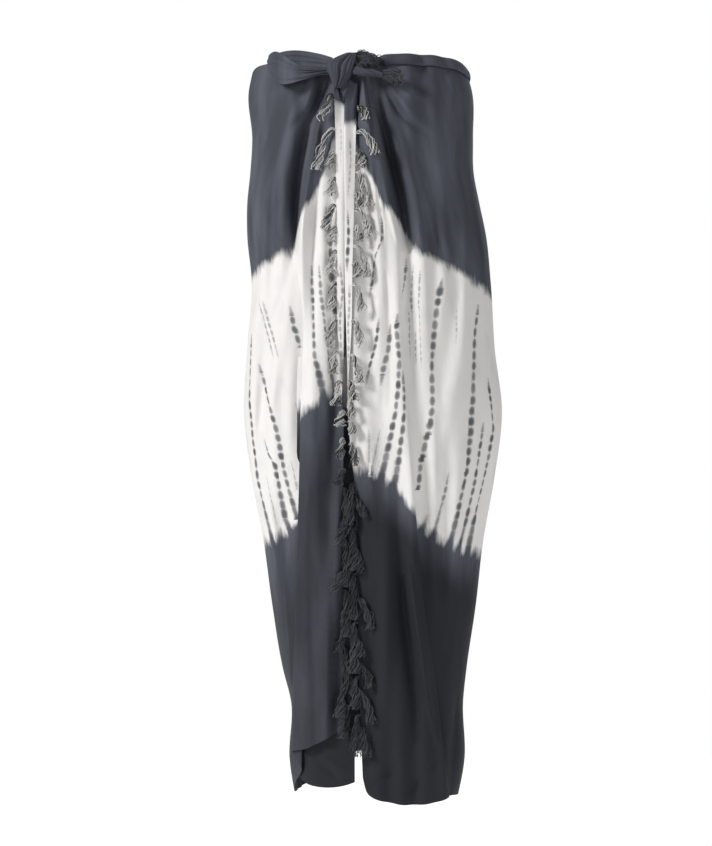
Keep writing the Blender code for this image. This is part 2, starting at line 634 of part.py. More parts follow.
def strip_and_locks(name, corners, path_of, radius, color):
    """Strip through rings of four corners, with a lock out of every other stretch of it."""
    mesh = bmesh.new()
    rings = [[mesh.verts.new(corner) for corner in ring] for ring in corners]
    mesh.faces.new(rings[0])
    mesh.faces.new(rings[-1])
    for number, (first, second) in enumerate(zip(rings, rings[1:])):
        for k in range(4):
            if k == 1 and number % 2 == 0:
                continue
            after = (k + 1) % 4
            mesh.faces.new((first[k], first[after], second[after], second[k]))
    for number in range(len(rings) // 2):
        upper, lower = rings[2 * number], rings[2 * number + 1]
        root_ring = [upper[1], upper[2], lower[2], lower[1]]
        root = sum((corner.co for corner in root_ring), Vector()) / 4
        path, sizes = path_of(root, number)
        frames = carry_frame(path, Vector((0, 0, 1)))
        inward = (upper[2].co - upper[1].co).normalized()
        flip = 1 if frames[0][1].dot(inward) > 0 else -1
        lock_rings = [root_ring]
        for (up, side), point, size in list(zip(frames, path, sizes))[1:]:
            corner = radius * size * MM * 0.75
            lock_rings.append([mesh.verts.new(point + corner * (a * up + b * flip * side))
                               for a, b in ((1, -1), (1, 1), (-1, 1), (-1, -1))])
        bridge(mesh, lock_rings)
        mesh.faces.new(lock_rings[-1])
    return finish(name, mesh, color)


def build():
    for thing in list(bpy.data.objects):
        bpy.data.objects.remove(thing)
    left = panel_points(LEFT_FRONT, -1, ROWS)
    right = panel_points(RIGHT_FRONT, 1, ROWS)
    under = panel_points(LEFT_UNDER, -1, 12)
    back = back_points()
    left_wall = wall_from_grid("left_front", left, grid_normals(left, -1), DARK_DYE)
    right_wall = wall_from_grid("right_front", right, grid_normals(right, 1), DARK_DYE)
    under_wall = wall_from_grid("left_under", under, grid_normals(under, -1), DARK_DYE)
    wall_from_grid("back", back, grid_normals(back, -1), DARK_DYE)
    bow_loop()
    knot_band()
    tail = rope("tail_roll", TAIL, 8, 0.16, DARK_DYE)
    rope("knot_tuck", TIP, 6, 0.10, DARK_DYE)
    roll = border_roll(right, grid_normals(right, 1), RIGHT_FRONT)
    foremost = surface_finder((left_wall, right_wall, under_wall))
    fringe("left_fringe", left, LEFT_LOCKS, -1, foremost)
    fringe("right_fringe", right, RIGHT_LOCKS, 1, foremost)
    behind = surface_finder((right_wall, roll, tail))
    tail_fringe("tail_tuft", -6.1, 17, TUFT_LOCKS, behind)
    tail_fringe("tail_fan", 29.6, 18.5, FAN_LOCKS, surface_finder((right_wall, roll)))


build()
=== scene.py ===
"""Looks of the sarong: wound round under the arms, knotted in front, its fringed ends hanging down.

Tables are in millimetres, in the frame of the solids. Meshes are in metres.
"""

from collections import namedtuple
import math

import bmesh
import bpy
import numpy as np
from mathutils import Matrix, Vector
from mathutils.bvhtree import BVHTree


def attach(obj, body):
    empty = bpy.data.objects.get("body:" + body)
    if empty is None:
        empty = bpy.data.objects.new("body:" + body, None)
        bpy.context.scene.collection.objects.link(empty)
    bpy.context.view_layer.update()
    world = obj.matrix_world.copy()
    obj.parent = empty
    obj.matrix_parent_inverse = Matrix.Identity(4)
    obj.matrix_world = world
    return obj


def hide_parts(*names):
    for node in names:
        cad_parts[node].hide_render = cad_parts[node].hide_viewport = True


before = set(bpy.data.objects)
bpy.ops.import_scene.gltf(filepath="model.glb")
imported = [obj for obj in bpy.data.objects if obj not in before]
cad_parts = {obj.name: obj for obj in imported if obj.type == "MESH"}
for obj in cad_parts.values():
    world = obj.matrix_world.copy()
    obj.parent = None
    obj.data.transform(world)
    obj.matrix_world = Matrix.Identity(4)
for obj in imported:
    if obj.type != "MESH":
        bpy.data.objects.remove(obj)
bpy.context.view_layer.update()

# Camera, light and floor
# The camera stands level with the middle of the cloth, 3.2 m off. The light is a soft window
# high on the left, with wider and weaker ones on the right and behind, over a pale floor.
MM = 0.001
CAMERA_PLACE = (-7.5 * MM, -3.2, -496.5 * MM)
CAMERA_LENS = 90.8
CAMERA_SENSOR = 36
LIT_POINT = Vector((0, 0, -0.45))
STUDIO_LIGHT = 0.30
FLOOR_HEIGHT = -1250 * MM
FLOOR_HALF = 1.6
FLOOR_GLOW = 0.5
FLOOR_CORNERS = ((-1, -1), (1, -1), (1, 1), (-1, 1))

scene = bpy.context.scene
camera = bpy.data.objects.new("camera", bpy.data.cameras.new("camera"))
camera.data.lens = CAMERA_LENS
camera.data.sensor_width = CAMERA_SENSOR
camera.location = CAMERA_PLACE
camera.rotation_euler = (math.pi / 2, 0, 0)
scene.collection.objects.link(camera)
scene.camera = camera
scene.view_settings.view_transform = "Standard"


def window(name, place, size, power, colour):
    """Square area light that faces the middle of the cloth."""
    light = bpy.data.lights.new(name, "AREA")
    light.size = size
    light.energy = power
    light.color = colour
    holder = bpy.data.objects.new(name, light)
    holder.location = place
    holder.rotation_euler = (LIT_POINT - Vector(place)).to_track_quat("-Z", "Y").to_euler()
    scene.collection.objects.link(holder)


window("key", (-2.9, -2.2, 1.5), 1.0, 130, (1.0, 0.985, 0.965))
window("fill", (2.8, -2.2, 0.4), 2.4, 24, (1.0, 0.985, 0.97))
window("back_light", (0.6, 2.6, 1.2), 2.0, 20, (1.0, 1.0, 1.0))


def set_inputs(node, values):
    """Give a node's inputs their values, by name."""
    for label, value in values.items():
        node.inputs[label].default_value = value


# The studio's own light is soft and weak, and what the camera sees behind the cloth is white
world = bpy.data.worlds.new("studio")
world.use_nodes = True
studio = world.node_tree
ambient = studio.nodes["Background"]
set_inputs(ambient, {"Strength": STUDIO_LIGHT, "Color": (1, 1, 1, 1)})
seen = studio.nodes.new("ShaderNodeBackground")
set_inputs(seen, {"Color": (1, 1, 1, 1)})
either = studio.nodes.new("ShaderNodeMixShader")
is_seen = studio.nodes.new("ShaderNodeLightPath").outputs["Is Camera Ray"]
for number, given in enumerate((is_seen, ambient.outputs[0], seen.outputs[0])):
    studio.links.new(given, either.inputs[number])
studio.links.new(either.outputs[0], studio.nodes["World Output"].inputs["Surface"])
scene.world = world

floor_mesh = bpy.data.meshes.new("floor")
floor_mesh.from_pydata([(x * FLOOR_HALF, y * FLOOR_HALF, FLOOR_HEIGHT) for x, y in FLOOR_CORNERS],
                       [], [(0, 1, 2, 3)])
floor_finish = bpy.data.materials.new("pale_floor")
floor_finish.use_nodes = True
set_inputs(floor_finish.node_tree.nodes["Principled BSDF"],
           {"Base Color": (0.9, 0.9, 0.9, 1), "Roughness": 0.9,
            "Emission Color": (1, 1, 1, 1), "Emission Strength": FLOOR_GLOW})
floor_mesh.materials.append(floor_finish)
floor = bpy.data.objects.new("floor", floor_mesh)
scene.collection.objects.link(floor)

# Dyed cloth
# Fine plain-woven rayon. It is dark slate grey above and below one wide white band, whose edges
# bled in short upright streaks, and lines of stitched and tied beads run down the white.
DARK = (0.050, 0.054, 0.069, 1)
DARK_WORN = (0.100, 0.108, 0.134, 1)
DARK_FOOT = (0.015, 0.016, 0.020, 1)
WHITE = (0.77, 0.76, 0.75, 1)
WHITE_TINT = (0.64, 0.635, 0.64, 1)
BEAD_GREY = (0.075, 0.079, 0.090, 1)

# Noise, as waves in a metre along the cloth's two ways
STREAKS = (260, 45, 1)
BLOTCHES = (42, 20, 1)
WORN_PATCHES = (28, 6, 1)
WEAVE = (1300, 1300, 1)
CRINKLES = (95, 12, 1)

# The dye's edge: how far its streaks and scallops reach both ways, how far it rises along a
# strong bead line, and over what depth the cloth goes dark
BLEED = 9
SCALLOP = 15
FLAME = 20
DYE_START = -11.0
DYE_FULL = 8.0
FOOT_START = -5.0
FOOT_FULL = 70.0
FOOT_MOST = 0.93

# Beads: least and most distance along a line, least and most half width, how far the line
# wavers, how near the grey haze keeps to it, and how far above the dark they run together
BEAD_SPACING = 46
BEAD_PERIODS = (8, 16)
BEAD_WIDTHS = (1.2, 5.8)
LINE_WAVER = 0.045
HAZE_REACH = 9.0
WEDGE_START = -75
WEDGE_FULL = -6.0

# How unlike each other the beads are: in beat, size, edge and tone
LINE_BEAT = 7.0
SWELL_BEAT = 1.5
SWELL_WAVES = (5.3, 14.0)
SWELL_SIZES = (0.1, 1.5)
BEAD_SIZES = (0.85, 1.15)
WEDGE_SIZES = (1.0, 1.5)
HALF_BEATS = (0.49, 0.99)
FRAY = 1.5
BEAD_EDGE = (0.05, 1.45)
OVAL_ACROSS = 2.0
OVAL_ALONG = 2.3
BEAD_TONES = (0.72, 0.98)
LINE_TONES = (0.5, 1.0)
HAZE_TONES = (0.06, 0.36)


def add_node(tree, kind, inputs=None, **settings):
    """Node with its settings and inputs, each a value or another node's output."""
    node = tree.nodes.new(kind)
    for key, value in settings.items():
        setattr(node, key, value)
    for key, value in (inputs or {}).items():
        if isinstance(value, bpy.types.NodeSocket):
            tree.links.new(value, node.inputs[key])
        else:
            node.inputs[key].default_value = value
    return node


def maths(tree, operation, *values):
    """Result of a math node."""
    return add_node(tree, "ShaderNodeMath", dict(enumerate(values)), operation=operation).outputs[0]


def total(tree, first, *others):
    """All the values added up."""
    for other in others:
        first = maths(tree, "ADD", first, other)
    return first


def product(tree, first, *others):
    """All the values multiplied together."""
    for other in others:
        first = maths(tree, "MULTIPLY", first, other)
    return first


def between(tree, share, low, high):
    """The value that lies a share of the way from low to high."""
    return maths(tree, "MULTIPLY_ADD", share, high - low, low)


def soft_step(tree, value, low, high):
    """0 below low and 1 above high, with a smooth rise between them."""
    return add_node(tree, "ShaderNodeMapRange", {"Value": value, "From Min": low, "From Max": high},
                    interpolation_type="SMOOTHSTEP").outputs["Result"]


def mixed(tree, share, first, second):
    """Colour between two others."""
    return add_node(tree, "ShaderNodeMix", {0: share, 6: first, 7: second}, data_type="RGBA").outputs[2]


def noise(tree, vector, waves, detail):
    """Noise, stretched along the cloth's own two ways."""
    mapping = add_node(tree, "ShaderNodeMapping", {"Vector": vector, "Scale": waves})
    return add_node(tree, "ShaderNodeTexNoise",
                    {"Vector": mapping.outputs[0], "Scale": 1.0, "Detail": detail}).outputs["Fac"]


def plane_point(tree, x, y):
    """Vector of two values."""
    return add_node(tree, "ShaderNodeCombineXYZ", {"X": x, "Y": y}).outputs[0]


def attribute(tree, name):
    """A float attribute of the mesh."""
    return add_node(tree, "ShaderNodeAttribute", attribute_name=name).outputs["Fac"]


def bead_shares(tree, height, streaks, blotches):
    """Share of bead colour at a point, and how far its line draws the dark dye out there."""
    strength = attribute(tree, "bead")
    lane = total(tree, attribute(tree, "lane"), between(tree, blotches, -LINE_WAVER, LINE_WAVER))
    line = maths(tree, "ROUND", lane)
    off_line = product(tree, maths(tree, "ABSOLUTE", maths(tree, "SUBTRACT", lane, line)), BEAD_SPACING)
    near_line = between(tree, soft_step(tree, off_line, 0.0, HAZE_REACH), 1.0, 0.0)
    wedge = soft_step(tree, attribute(tree, "below_band"), WEDGE_START, WEDGE_FULL)

    # Each line has its own beat, and each bead on it its own size
    chance = add_node(tree, "ShaderNodeTexWhiteNoise", {"W": line},
                      noise_dimensions="1D").outputs["Value"]
    on_line = plane_point(tree, product(tree, line, SWELL_WAVES[0]), product(tree, height, SWELL_WAVES[1]))
    swell = add_node(tree, "ShaderNodeTexNoise", {"Vector": on_line, "Scale": 1.0}).outputs["Fac"]
    period = between(tree, strength, *BEAD_PERIODS)
    beat = total(tree, maths(tree, "DIVIDE", product(tree, height, 1 / MM), period),
                 product(tree, chance, LINE_BEAT), product(tree, swell, SWELL_BEAT))
    number = maths(tree, "FLOOR", beat)
    per_bead = add_node(tree, "ShaderNodeTexWhiteNoise", {"Vector": plane_point(tree, line, number)},
                        noise_dimensions="2D").outputs["Value"]

    # A bead is an oval with a soft edge. Just above the dark they run together into a wedge.
    width = product(tree, between(tree, strength, *BEAD_WIDTHS), between(tree, swell, *SWELL_SIZES),
                    between(tree, per_bead, *BEAD_SIZES), between(tree, wedge, *WEDGE_SIZES))
    frayed = total(tree, off_line, between(tree, streaks, -FRAY, FRAY))
    across = maths(tree, "DIVIDE", maths(tree, "ABSOLUTE", frayed), width)
    to_middle = maths(tree, "ABSOLUTE", maths(tree, "SUBTRACT", maths(tree, "FRACT", beat), 0.5))
    ends = maths(tree, "DIVIDE", to_middle, between(tree, wedge, *HALF_BEATS))
    radial = total(tree, maths(tree, "POWER", across, OVAL_ACROSS), maths(tree, "POWER", ends, OVAL_ALONG))
    bead = product(tree, between(tree, soft_step(tree, radial, *BEAD_EDGE), 1.0, 0.0),
                   between(tree, per_bead, *BEAD_TONES),
                   between(tree, soft_step(tree, strength, 0.1, 0.7), *LINE_TONES))
    haze = product(tree, near_line, between(tree, wedge, *HAZE_TONES))
    shown = soft_step(tree, strength, 0.02, 0.2)
    flame = product(tree, near_line, strength, wedge, FLAME)
    return product(tree, maths(tree, "MAXIMUM", bead, haze), shown), flame


def make_dyed_cloth():
    """Material of all the cloth, from the distances to the dye's edges and to the bead lines."""
    cloth = bpy.data.materials.new("dyed_cloth")
    cloth.use_nodes = True
    tree = cloth.node_tree
    surface = tree.nodes["Principled BSDF"]
    uv = add_node(tree, "ShaderNodeUVMap", uv_map="cloth").outputs[0]
    height = add_node(tree, "ShaderNodeSeparateXYZ", {0: uv}).outputs["Y"]
    streaks = noise(tree, uv, STREAKS, 3.0)
    blotches = noise(tree, uv, BLOTCHES, 2.0)
    bead_share, flame = bead_shares(tree, height, streaks, blotches)

    # The dark dye starts softly, feathered up and down, and scalloped between the stitches
    into_dark = total(tree, attribute(tree, "dye"), between(tree, streaks, -BLEED, BLEED),
                      between(tree, blotches, -SCALLOP, SCALLOP), flame)
    dark_share = soft_step(tree, into_dark, DYE_START, DYE_FULL)
    mottle = soft_step(tree, blotches, 0.45, 0.8)
    white = mixed(tree, product(tree, mottle, 0.5), WHITE, WHITE_TINT)
    white = mixed(tree, bead_share, white, BEAD_GREY)
    worn = soft_step(tree, noise(tree, uv, WORN_PATCHES, 3.0), 0.3, 0.75)
    foot = soft_step(tree, attribute(tree, "below_band"), FOOT_START, FOOT_FULL)
    dark = mixed(tree, worn, DARK, DARK_WORN)
    dark = mixed(tree, product(tree, foot, FOOT_MOST), dark, DARK_FOOT)
    tree.links.new(mixed(tree, dark_share, white, dark), surface.inputs["Base Color"])

    # Fine weave and faint upright crinkles
    relief = total(tree, product(tree, noise(tree, uv, WEAVE, 1.0), 0.22), noise(tree, uv, CRINKLES, 3.0))
    bump = add_node(tree, "ShaderNodeBump", {"Height": relief, "Strength": 0.4, "Distance": 0.0016})
    tree.links.new(bump.outputs[0], surface.inputs["Normal"])
    set_inputs(surface, {"Roughness": 0.68, "Sheen Weight": 0.05, "Sheen Roughness": 0.4,
                         "Specular IOR Level": 0.14})
    return cloth


dyed_cloth = make_dyed_cloth()

# The two fronts
# Each is the stretch of the cloth from a fringed end to the side: the end's border is turned
# back, then come a soft crown, a deep overlapping pleat and the plain flank. Nothing is sewn.
SQUARENESS = 2.3
SECTION_POINTS = 360
SEAM_ANGLE = 100
HEIGHT_STEP = 4
SHELL = 1.0
LEFT_FINENESS = 6
LEFT_ROWS = 290
RIGHT_FINENESS = 5
RIGHT_ROWS = 300
SHARP_ANGLE = math.radians(60)
DRAPE = 1.25
FLAT_FRONT = 70

# Creases and ripples: points for each station of a crease and its width at its ends, then how
# many ripples there are, how wide and how long they are, and where their waves may start
CREASE_POINTS = 12
CREASE_END = 0.55
RIPPLE_COUNT = 6
RIPPLE_WIDTHS = (24, 70)
RIPPLE_LENGTHS = (260, 900)
RIPPLE_STARTS = (0, 6.28)
FRONT_RIPPLE = 2.0

# Bead lines: how far beside a line its strength holds, how it fades at its ends, how deep a
# line may lie under a fold, and how near the dark it has to end to be led on into it
BEAD_REACH = 9
BEAD_FADE = 18
UNDER_FOLD = 5
NEAR_DARK = 80
INTO_DARK = 25
HALF_LANE = 0.49

# How fast each foot darkens below the band, and down to what depth
LEFT_FOOT = (0.3, 38)
RIGHT_FOOT = (1.0, 150)

# The general figure that fills the cloth: height, left side, right side, front, back
FIGURE = (
    (60, -156, 148, -100, 84),
    (25, -163, 159, -112, 91),
    (0, -168, 166, -116, 95),
    (-72, -163, 168, -122, 98),
    (-120, -166, 169, -124, 100),
    (-168, -171, 178, -121, 100),
    (-216, -171, 188, -118, 100),
    (-288, -164, 195, -118, 103),
    (-384, -170, 200, -122, 115),
    (-480, -175, 211, -125, 124),
    (-576, -164, 200, -122, 122),
    (-672, -146, 183, -114, 114),
    (-768, -133, 172, -106, 103),
    (-864, -117, 158, -99, 94),
    (-912, -105, 153, -96, 90),
    (-1000, -107, 155, -90, 85),
    (-1070, -96, 142, -85, 80),
)

# Heights at which the fold tables give their numbers
LEVELS = (25, -30, -100, -175, -260, -350, -465, -610, -750, -895, -1040)

# A fold line of a panel, from the fringed edge to the side: its mesh columns up to the next
# line, its top and hem heights, the heights of the white band's top and bottom on it, where it
# runs and how far it stands out at LEVELS. It runs at an X in front, and at an angle from the
# front at the side.
Fold = namedtuple("Fold", "name columns top hem band_top band_bottom kind where out")


def folds(*rows):
    """The fold lines of a panel."""
    return [Fold(*row) for row in rows]


LEFT_FRONT = folds(
    ("edge", 1, -14, -944, -30, -453, "x", (-39, -38, -36, -35, -34, -34, -26, -27, -28, -28, -28),
     (10, 7.5, 5.5, 4.5, 3.5, 3.5, 9, -4, -5, -6, -6)),
    ("border", 1, -12, -945, -30, -453, "x",
     (-35, -34, -31, -30, -29, -29, -26, -29, -29, -29, -29),
     (10, 7.5, 5.5, 4.5, 3.5, 3.5, 5.5, -3.5, -4.5, -5.5, -5.5)),
    ("turn_out", 2, -10, -946, -36, -455, "x",
     (-23, -22.8, -23, -23.7, -24.4, -25, -27, -31, -31, -31, -31),
     (10, 7.5, 5.5, 4.5, 3.5, 3.5, 2, -3, -4, -5, -5)),
    ("turn_in", 1, -8, -948, -40, -455, "x",
     (-23, -22.8, -23, -23.7, -24.4, -25, -28, -33, -34, -34, -34),
     (6.5, 4, 2, 1, 0, 0, -1, -2, -3, -4, -4)),
    ("inset", 2, -2, -952, -62, -459, "x", (-32, -31, -33, -36, -37, -38, -39, -41, -41, -41, -41),
     (5, 3, 1, 0, -0.5, -0.5, 0, 1, 1, 1, 1)),
    ("crown", 2, 4, -968, -102, -466, "x", (-34, -38, -45, -51, -52, -54, -58, -62, -64, -64, -64),
     (5, 4, 4, 4, 5, 6, 9, 10, 10, 10, 9)),
    ("crease", 2, 8, -977, -166, -475, "x", (-36, -44, -57, -64, -70, -69, -73, -76, -79, -80, -82),
     (3, 2, 1, 1, 2, 4.5, 9, 10, 10, 10, 9)),
    ("fold_out", 2, 14, -981, -182, -481, "x",
     (-38.5, -52, -68, -80, -84, -81, -86, -89, -93, -96, -98),
     (6, 6, 6, 6, 6, 8, 9, 9, 9, 9, 9)),
    ("fold_in", 1, 17, -986, -189, -492, "x",
     (-40, -55, -73, -86, -90, -84, -86, -89, -93, -96, -98),
     (2, 1, 0, 0, 0, 1.5, 2.6, 2.6, 2.8, 2.8, 2.8)),
    ("tuck_a", 2, 20, -998, -206, -535, "x",
     (-42, -59.5, -78, -90, -92, -79, -75, -77, -81, -85, -88),
     (-2, -4, -7, -7, -4, 0.8, 2.4, 2.4, 2.8, 2.8, 2.8)),
    ("tuck_b", 1, 22, -1012, -227, -608, "x",
     (-44, -65, -84, -95, -95, -81, -75, -77, -81, -85, -88),
     (-3, -5, -8, -8, -6, -2.4, -0.6, -0.6, -0.9, -1.2, -1.2)),
    ("valley", 1, 25, -1026, -241, -655, "x",
     (-47, -73, -90, -99, -100, -92, -94, -97, -102, -99, -97),
     (-1, -3, -5, -5, -4, -2, 0, 0, 0, 0, 0)),
    ("bank", 2, 28, -1035, -248, -660, "x",
     (-52, -82, -99, -106, -108, -112, -120, -115, -112, -102, -99),
     (3, 4, 4, 4, 3, 3, 3, 1, 0, 0, 0)),
    ("flank", 2, 31, -1042, -264, -673, "angle", (42, 48, 55, 58, 58, 60, 64, 64, 66, 80, 83),
     (3, 3, 2, 2, 2, 1, 1, 0, 0, 0, 0)),
    ("side_crease", 2, 32, -1046, -281, -673, "angle", (66, 68, 72, 74, 74, 76, 78, 78, 78, 86, 88),
     (0, 0, -1, -3, -3, 0, 0, 0, 0, 0, 0)),
    ("side", 1, 22, -1050, -283, -684, "angle", (90,) * len(LEVELS), (0,) * len(LEVELS)),
    ("seam", 1, 12, -1051, -288, -687, "angle", (SEAM_ANGLE,) * len(LEVELS), (0,) * len(LEVELS)),
)
RIGHT_FRONT = folds(
    ("edge", 1, -8, -1014, -62, -567, "x", (-6, -6, -8, -10, -12, -13, -18, -8, -6, -3, 3),
     (10.5, 8.5, 6.5, 5.5, 4.5, 3.5, 9, -4, -5, -6, -6)),
    ("border", 1, -5, -1020, -62, -567, "x", (-10, -11, -14, -15.5, -16, -17, -18, -6, -4.5, -2, 4),
     (10.5, 8.5, 6.5, 5.5, 4.5, 3.5, 5.5, -3.5, -4.5, -5.5, -5.5)),
    ("turn_out", 2, 2, -1028, -65, -567, "x",
     (-21.5, -25, -25.5, -25, -24.5, -21.5, -17, -4.5, -3, 0, 5.5),
     (11, 11, 9.5, 8.5, 7.5, 5, 2, -3, -4, -5, -5)),
    ("turn_in", 1, 7, -1036, -65, -567, "x",
     (-20.8, -20.9, -20.7, -21, -21, -20.5, -16, -2.5, -1, 2, 7.5),
     (7, 5, 3, 2, 1, 0, -1, -2, -3, -4, -4)),
    ("hollow", 2, 15, -1044, -102, -569, "x", (-9, -7, -2, 0, 1, 1, 2.5, 5.5, 8.5, 10, 14),
     (4, 2, 0, -1, -1, 0, 1, 1, 1, 1, 0)),
    ("crown", 2, 22, -1051, -153, -576, "x", (-4, 5, 15, 22, 26, 29, 31, 33, 34.5, 36, 39),
     (6, 6, 5, 4, 4, 5, 6, 6, 6, 5, 3)),
    ("crease", 2, 25, -1056, -172, -598, "x", (0, 10, 19, 28, 35, 40, 46, 54, 62, 74, 76),
     (2, 1, 0, 0, 1, 2, 4, 4, 1.5, -1, 2)),
    ("roll", 2, 28, -1053, -186, -612, "x", (4, 14, 24.5, 37, 44.5, 49, 56, 67, 77, 96, 110),
     (5, 5, 6, 6, 6, 7, 9, 9.5, 9.5, 8, 6)),
    ("fold_out", 2, 29, -1046, -193, -624, "x", (8, 18.5, 29, 43, 53, 57.5, 65, 77, 89, 108, 126),
     (4, 4, 5, 5, 5, 7, 9, 9, 9, 9, 9.5)),
    ("fold_in", 1, 30, -1045, -198, -629, "x", (10, 21.5, 32.5, 48, 58, 60, 65, 77, 89, 108, 126),
     (1, 0, -1, -1, -0.5, 1.2, 2.6, 2.6, 2.6, 2.6, 2.6)),
    ("tuck_a", 2, 31, -1045, -206, -637, "x", (12, 24.5, 37.5, 56, 62, 56, 53, 64, 76, 95, 113),
     (-3, -5, -8, -8, -5, 0.6, 2.4, 2.4, 2.4, 2.4, 2.2)),
    ("tuck_b", 1, 32, -1046, -221, -645, "x", (15, 28.5, 44.5, 63, 68, 58, 53, 64, 76, 95, 113),
     (-4, -6, -9, -9, -7, -2.6, -0.6, -0.6, -0.6, -0.6, -0.6)),
    ("valley", 1, 33, -1047, -244, -654, "x", (18, 34, 51, 69, 73, 69, 73, 86, 99, 117, 134),
     (-1, -3, -5, -5, -4, -2, 0, 0, 0, 0, 0)),
    ("bank", 2, 34, -1048, -247, -663, "x", (24, 42, 61, 79, 88, 93, 99, 111, 122, 131, 138),
     (3, 5, 5, 5, 4, 2, 1, 1, 1, 1, 0)),
    ("slack", 2, 36, -1049, -267, -681, "x", (38, 62, 80, 97, 118, 124, 128, 134, 136, 139, 141),
     (0, -2, -2, -3, -2, 0, 0, 0, 0, 0, 0)),
    ("chest", 2, 38, -1050, -289, -689, "angle", (38, 42, 45, 47, 52, 54, 54, 58, 62, 72, 81),
     (3, 3, 3, 3, 2, 1, 1, 0, 0, 0, 0)),
    ("side_crease", 2, 35, -1051, -304, -691, "angle", (62, 66, 70, 72, 74, 74, 74, 75, 77, 82, 86),
     (0, 0, -2, -3, -3, 0, 0, 0, 0, 0, 0)),
    ("side", 1, 23, -1052, -316, -704, "angle", (90,) * len(LEVELS), (0,) * len(LEVELS)),
    ("seam", 1, 13, -1053, -324, -706, "angle", (SEAM_ANGLE,) * len(LEVELS), (0,) * len(LEVELS)),
)

# Bead lines: strength, first and last fold line between which they run, then X and height along
# them
LEFT_BEADS = (
    (0.12, "border", "turn_out", ((-31, -50), (-28, -95), (-31, -140))),
    (0.4, "border", "turn_out", ((-31, -262), (-27, -310), (-31, -360), (-29, -400))),
    (1.0, "inset", "fold_out", ((-51, -182), (-45, -232), (-44, -264), (-39, -319), (-34, -369))),
    (0.45, "inset", "fold_out", ((-62, -264), (-58, -312), (-51, -369), (-45, -413), (-38, -456))),
    (0.65, "inset", "fold_out", ((-72, -264), (-71, -290), (-68, -362), (-67, -403), (-62, -423),
                                 (-54, -462))),
    (0.75, "valley", "flank", ((-104, -323), (-97, -359), (-88, -391), (-82, -423))),
    (0.2, "valley", "flank", ((-98, -459), (-91, -481), (-86, -507))),
    (0.2, "valley", "flank", ((-104, -544), (-97, -572), (-90, -605))),
    (0.3, "valley", "side", ((-146, -312), (-137, -345), (-129, -369), (-119, -408))),
    (0.3, "valley", "side", ((-152, -312), (-143, -345), (-136, -369), (-126, -408))),
    (0.7, "valley", "side", ((-152, -406), (-142, -434), (-136, -463), (-127, -495), (-119, -524),
                             (-113, -564), (-103, -600), (-90, -650))),
    (0.7, "valley", "side", ((-143, -517), (-135, -543), (-126, -557), (-119, -593), (-111, -637),
                             (-101, -660))),
    (0.2, "valley", "side", ((-140, -567), (-132, -608), (-123, -651))),
    (0.85, "valley", "side", ((-162, -362), (-165, -463), (-159, -521), (-153, -579), (-143, -622),
                              (-130, -672))),
)
RIGHT_BEADS = (
    (0.2, "border", "turn_out", ((-18, -80), (-15, -120), (-20, -178))),
    (0.7, "border", "turn_out", ((-20, -186), (-18, -230), (-20, -282))),
    (0.35, "border", "turn_out", ((-15, -292), (-18, -350), (-16, -430))),
    (0.2, "hollow", "fold_out", ((11, -499), (11, -564))),
    (0.25, "hollow", "fold_out", ((29, -499), (20, -543), (14, -564))),
    (0.55, "hollow", "fold_out", ((29, -196), (30, -232), (21, -253), (16, -293), (11, -319))),
    (0.6, "hollow", "fold_out", ((26, -341), (20, -384), (13, -413), (7, -445))),
    (0.8, "hollow", "fold_out", ((43, -351), (39, -390), (31, -424), (27, -446))),
    (0.85, "hollow", "fold_out", ((52, -336), (50, -361), (55, -407), (53, -445), (49, -478),
                                  (40, -530), (29, -575))),
    (0.8, "crown", "fold_out", ((60, -419), (62, -456), (60, -507), (53, -556), (46, -596))),
    (0.5, "fold_in", "bank", ((66, -254), (63, -290), (57, -322))),
    (0.25, "valley", "side", ((63, -319), (66, -406))),
    (0.25, "valley", "side", ((69, -322), (72, -414))),
    (0.3, "valley", "side", ((76, -262), (73, -316), (73, -362))),
    (0.25, "valley", "side", ((78, -328), (79, -420))),
    (0.25, "valley", "side", ((85, -270), (83, -319), (86, -426))),
    (1.0, "valley", "side", ((118, -284), (109, -333), (105, -377), (102, -420), (102, -473),
                             (98, -507), (86, -553), (83, -586), (72, -632))),
    (0.4, "valley", "side", ((98, -625), (89, -650))),
    (0.45, "valley", "side", ((128, -564), (122, -596), (115, -622), (105, -660))),
    (0.15, "valley", "side", ((140, -319), (137, -391))),
    (0.95, "valley", "side", ((172, -319), (166, -369), (164, -434), (161, -491), (156, -553),
                              (148, -593), (141, -629), (128, -676))),
    (0.75, "valley", "side", ((179, -492), (172, -547), (164, -593), (157, -625), (144, -676))),
    (0.7, "valley", "side", ((186, -427), (190, -463), (195, -505), (187, -550), (173, -608),
                             (157, -680))),
)

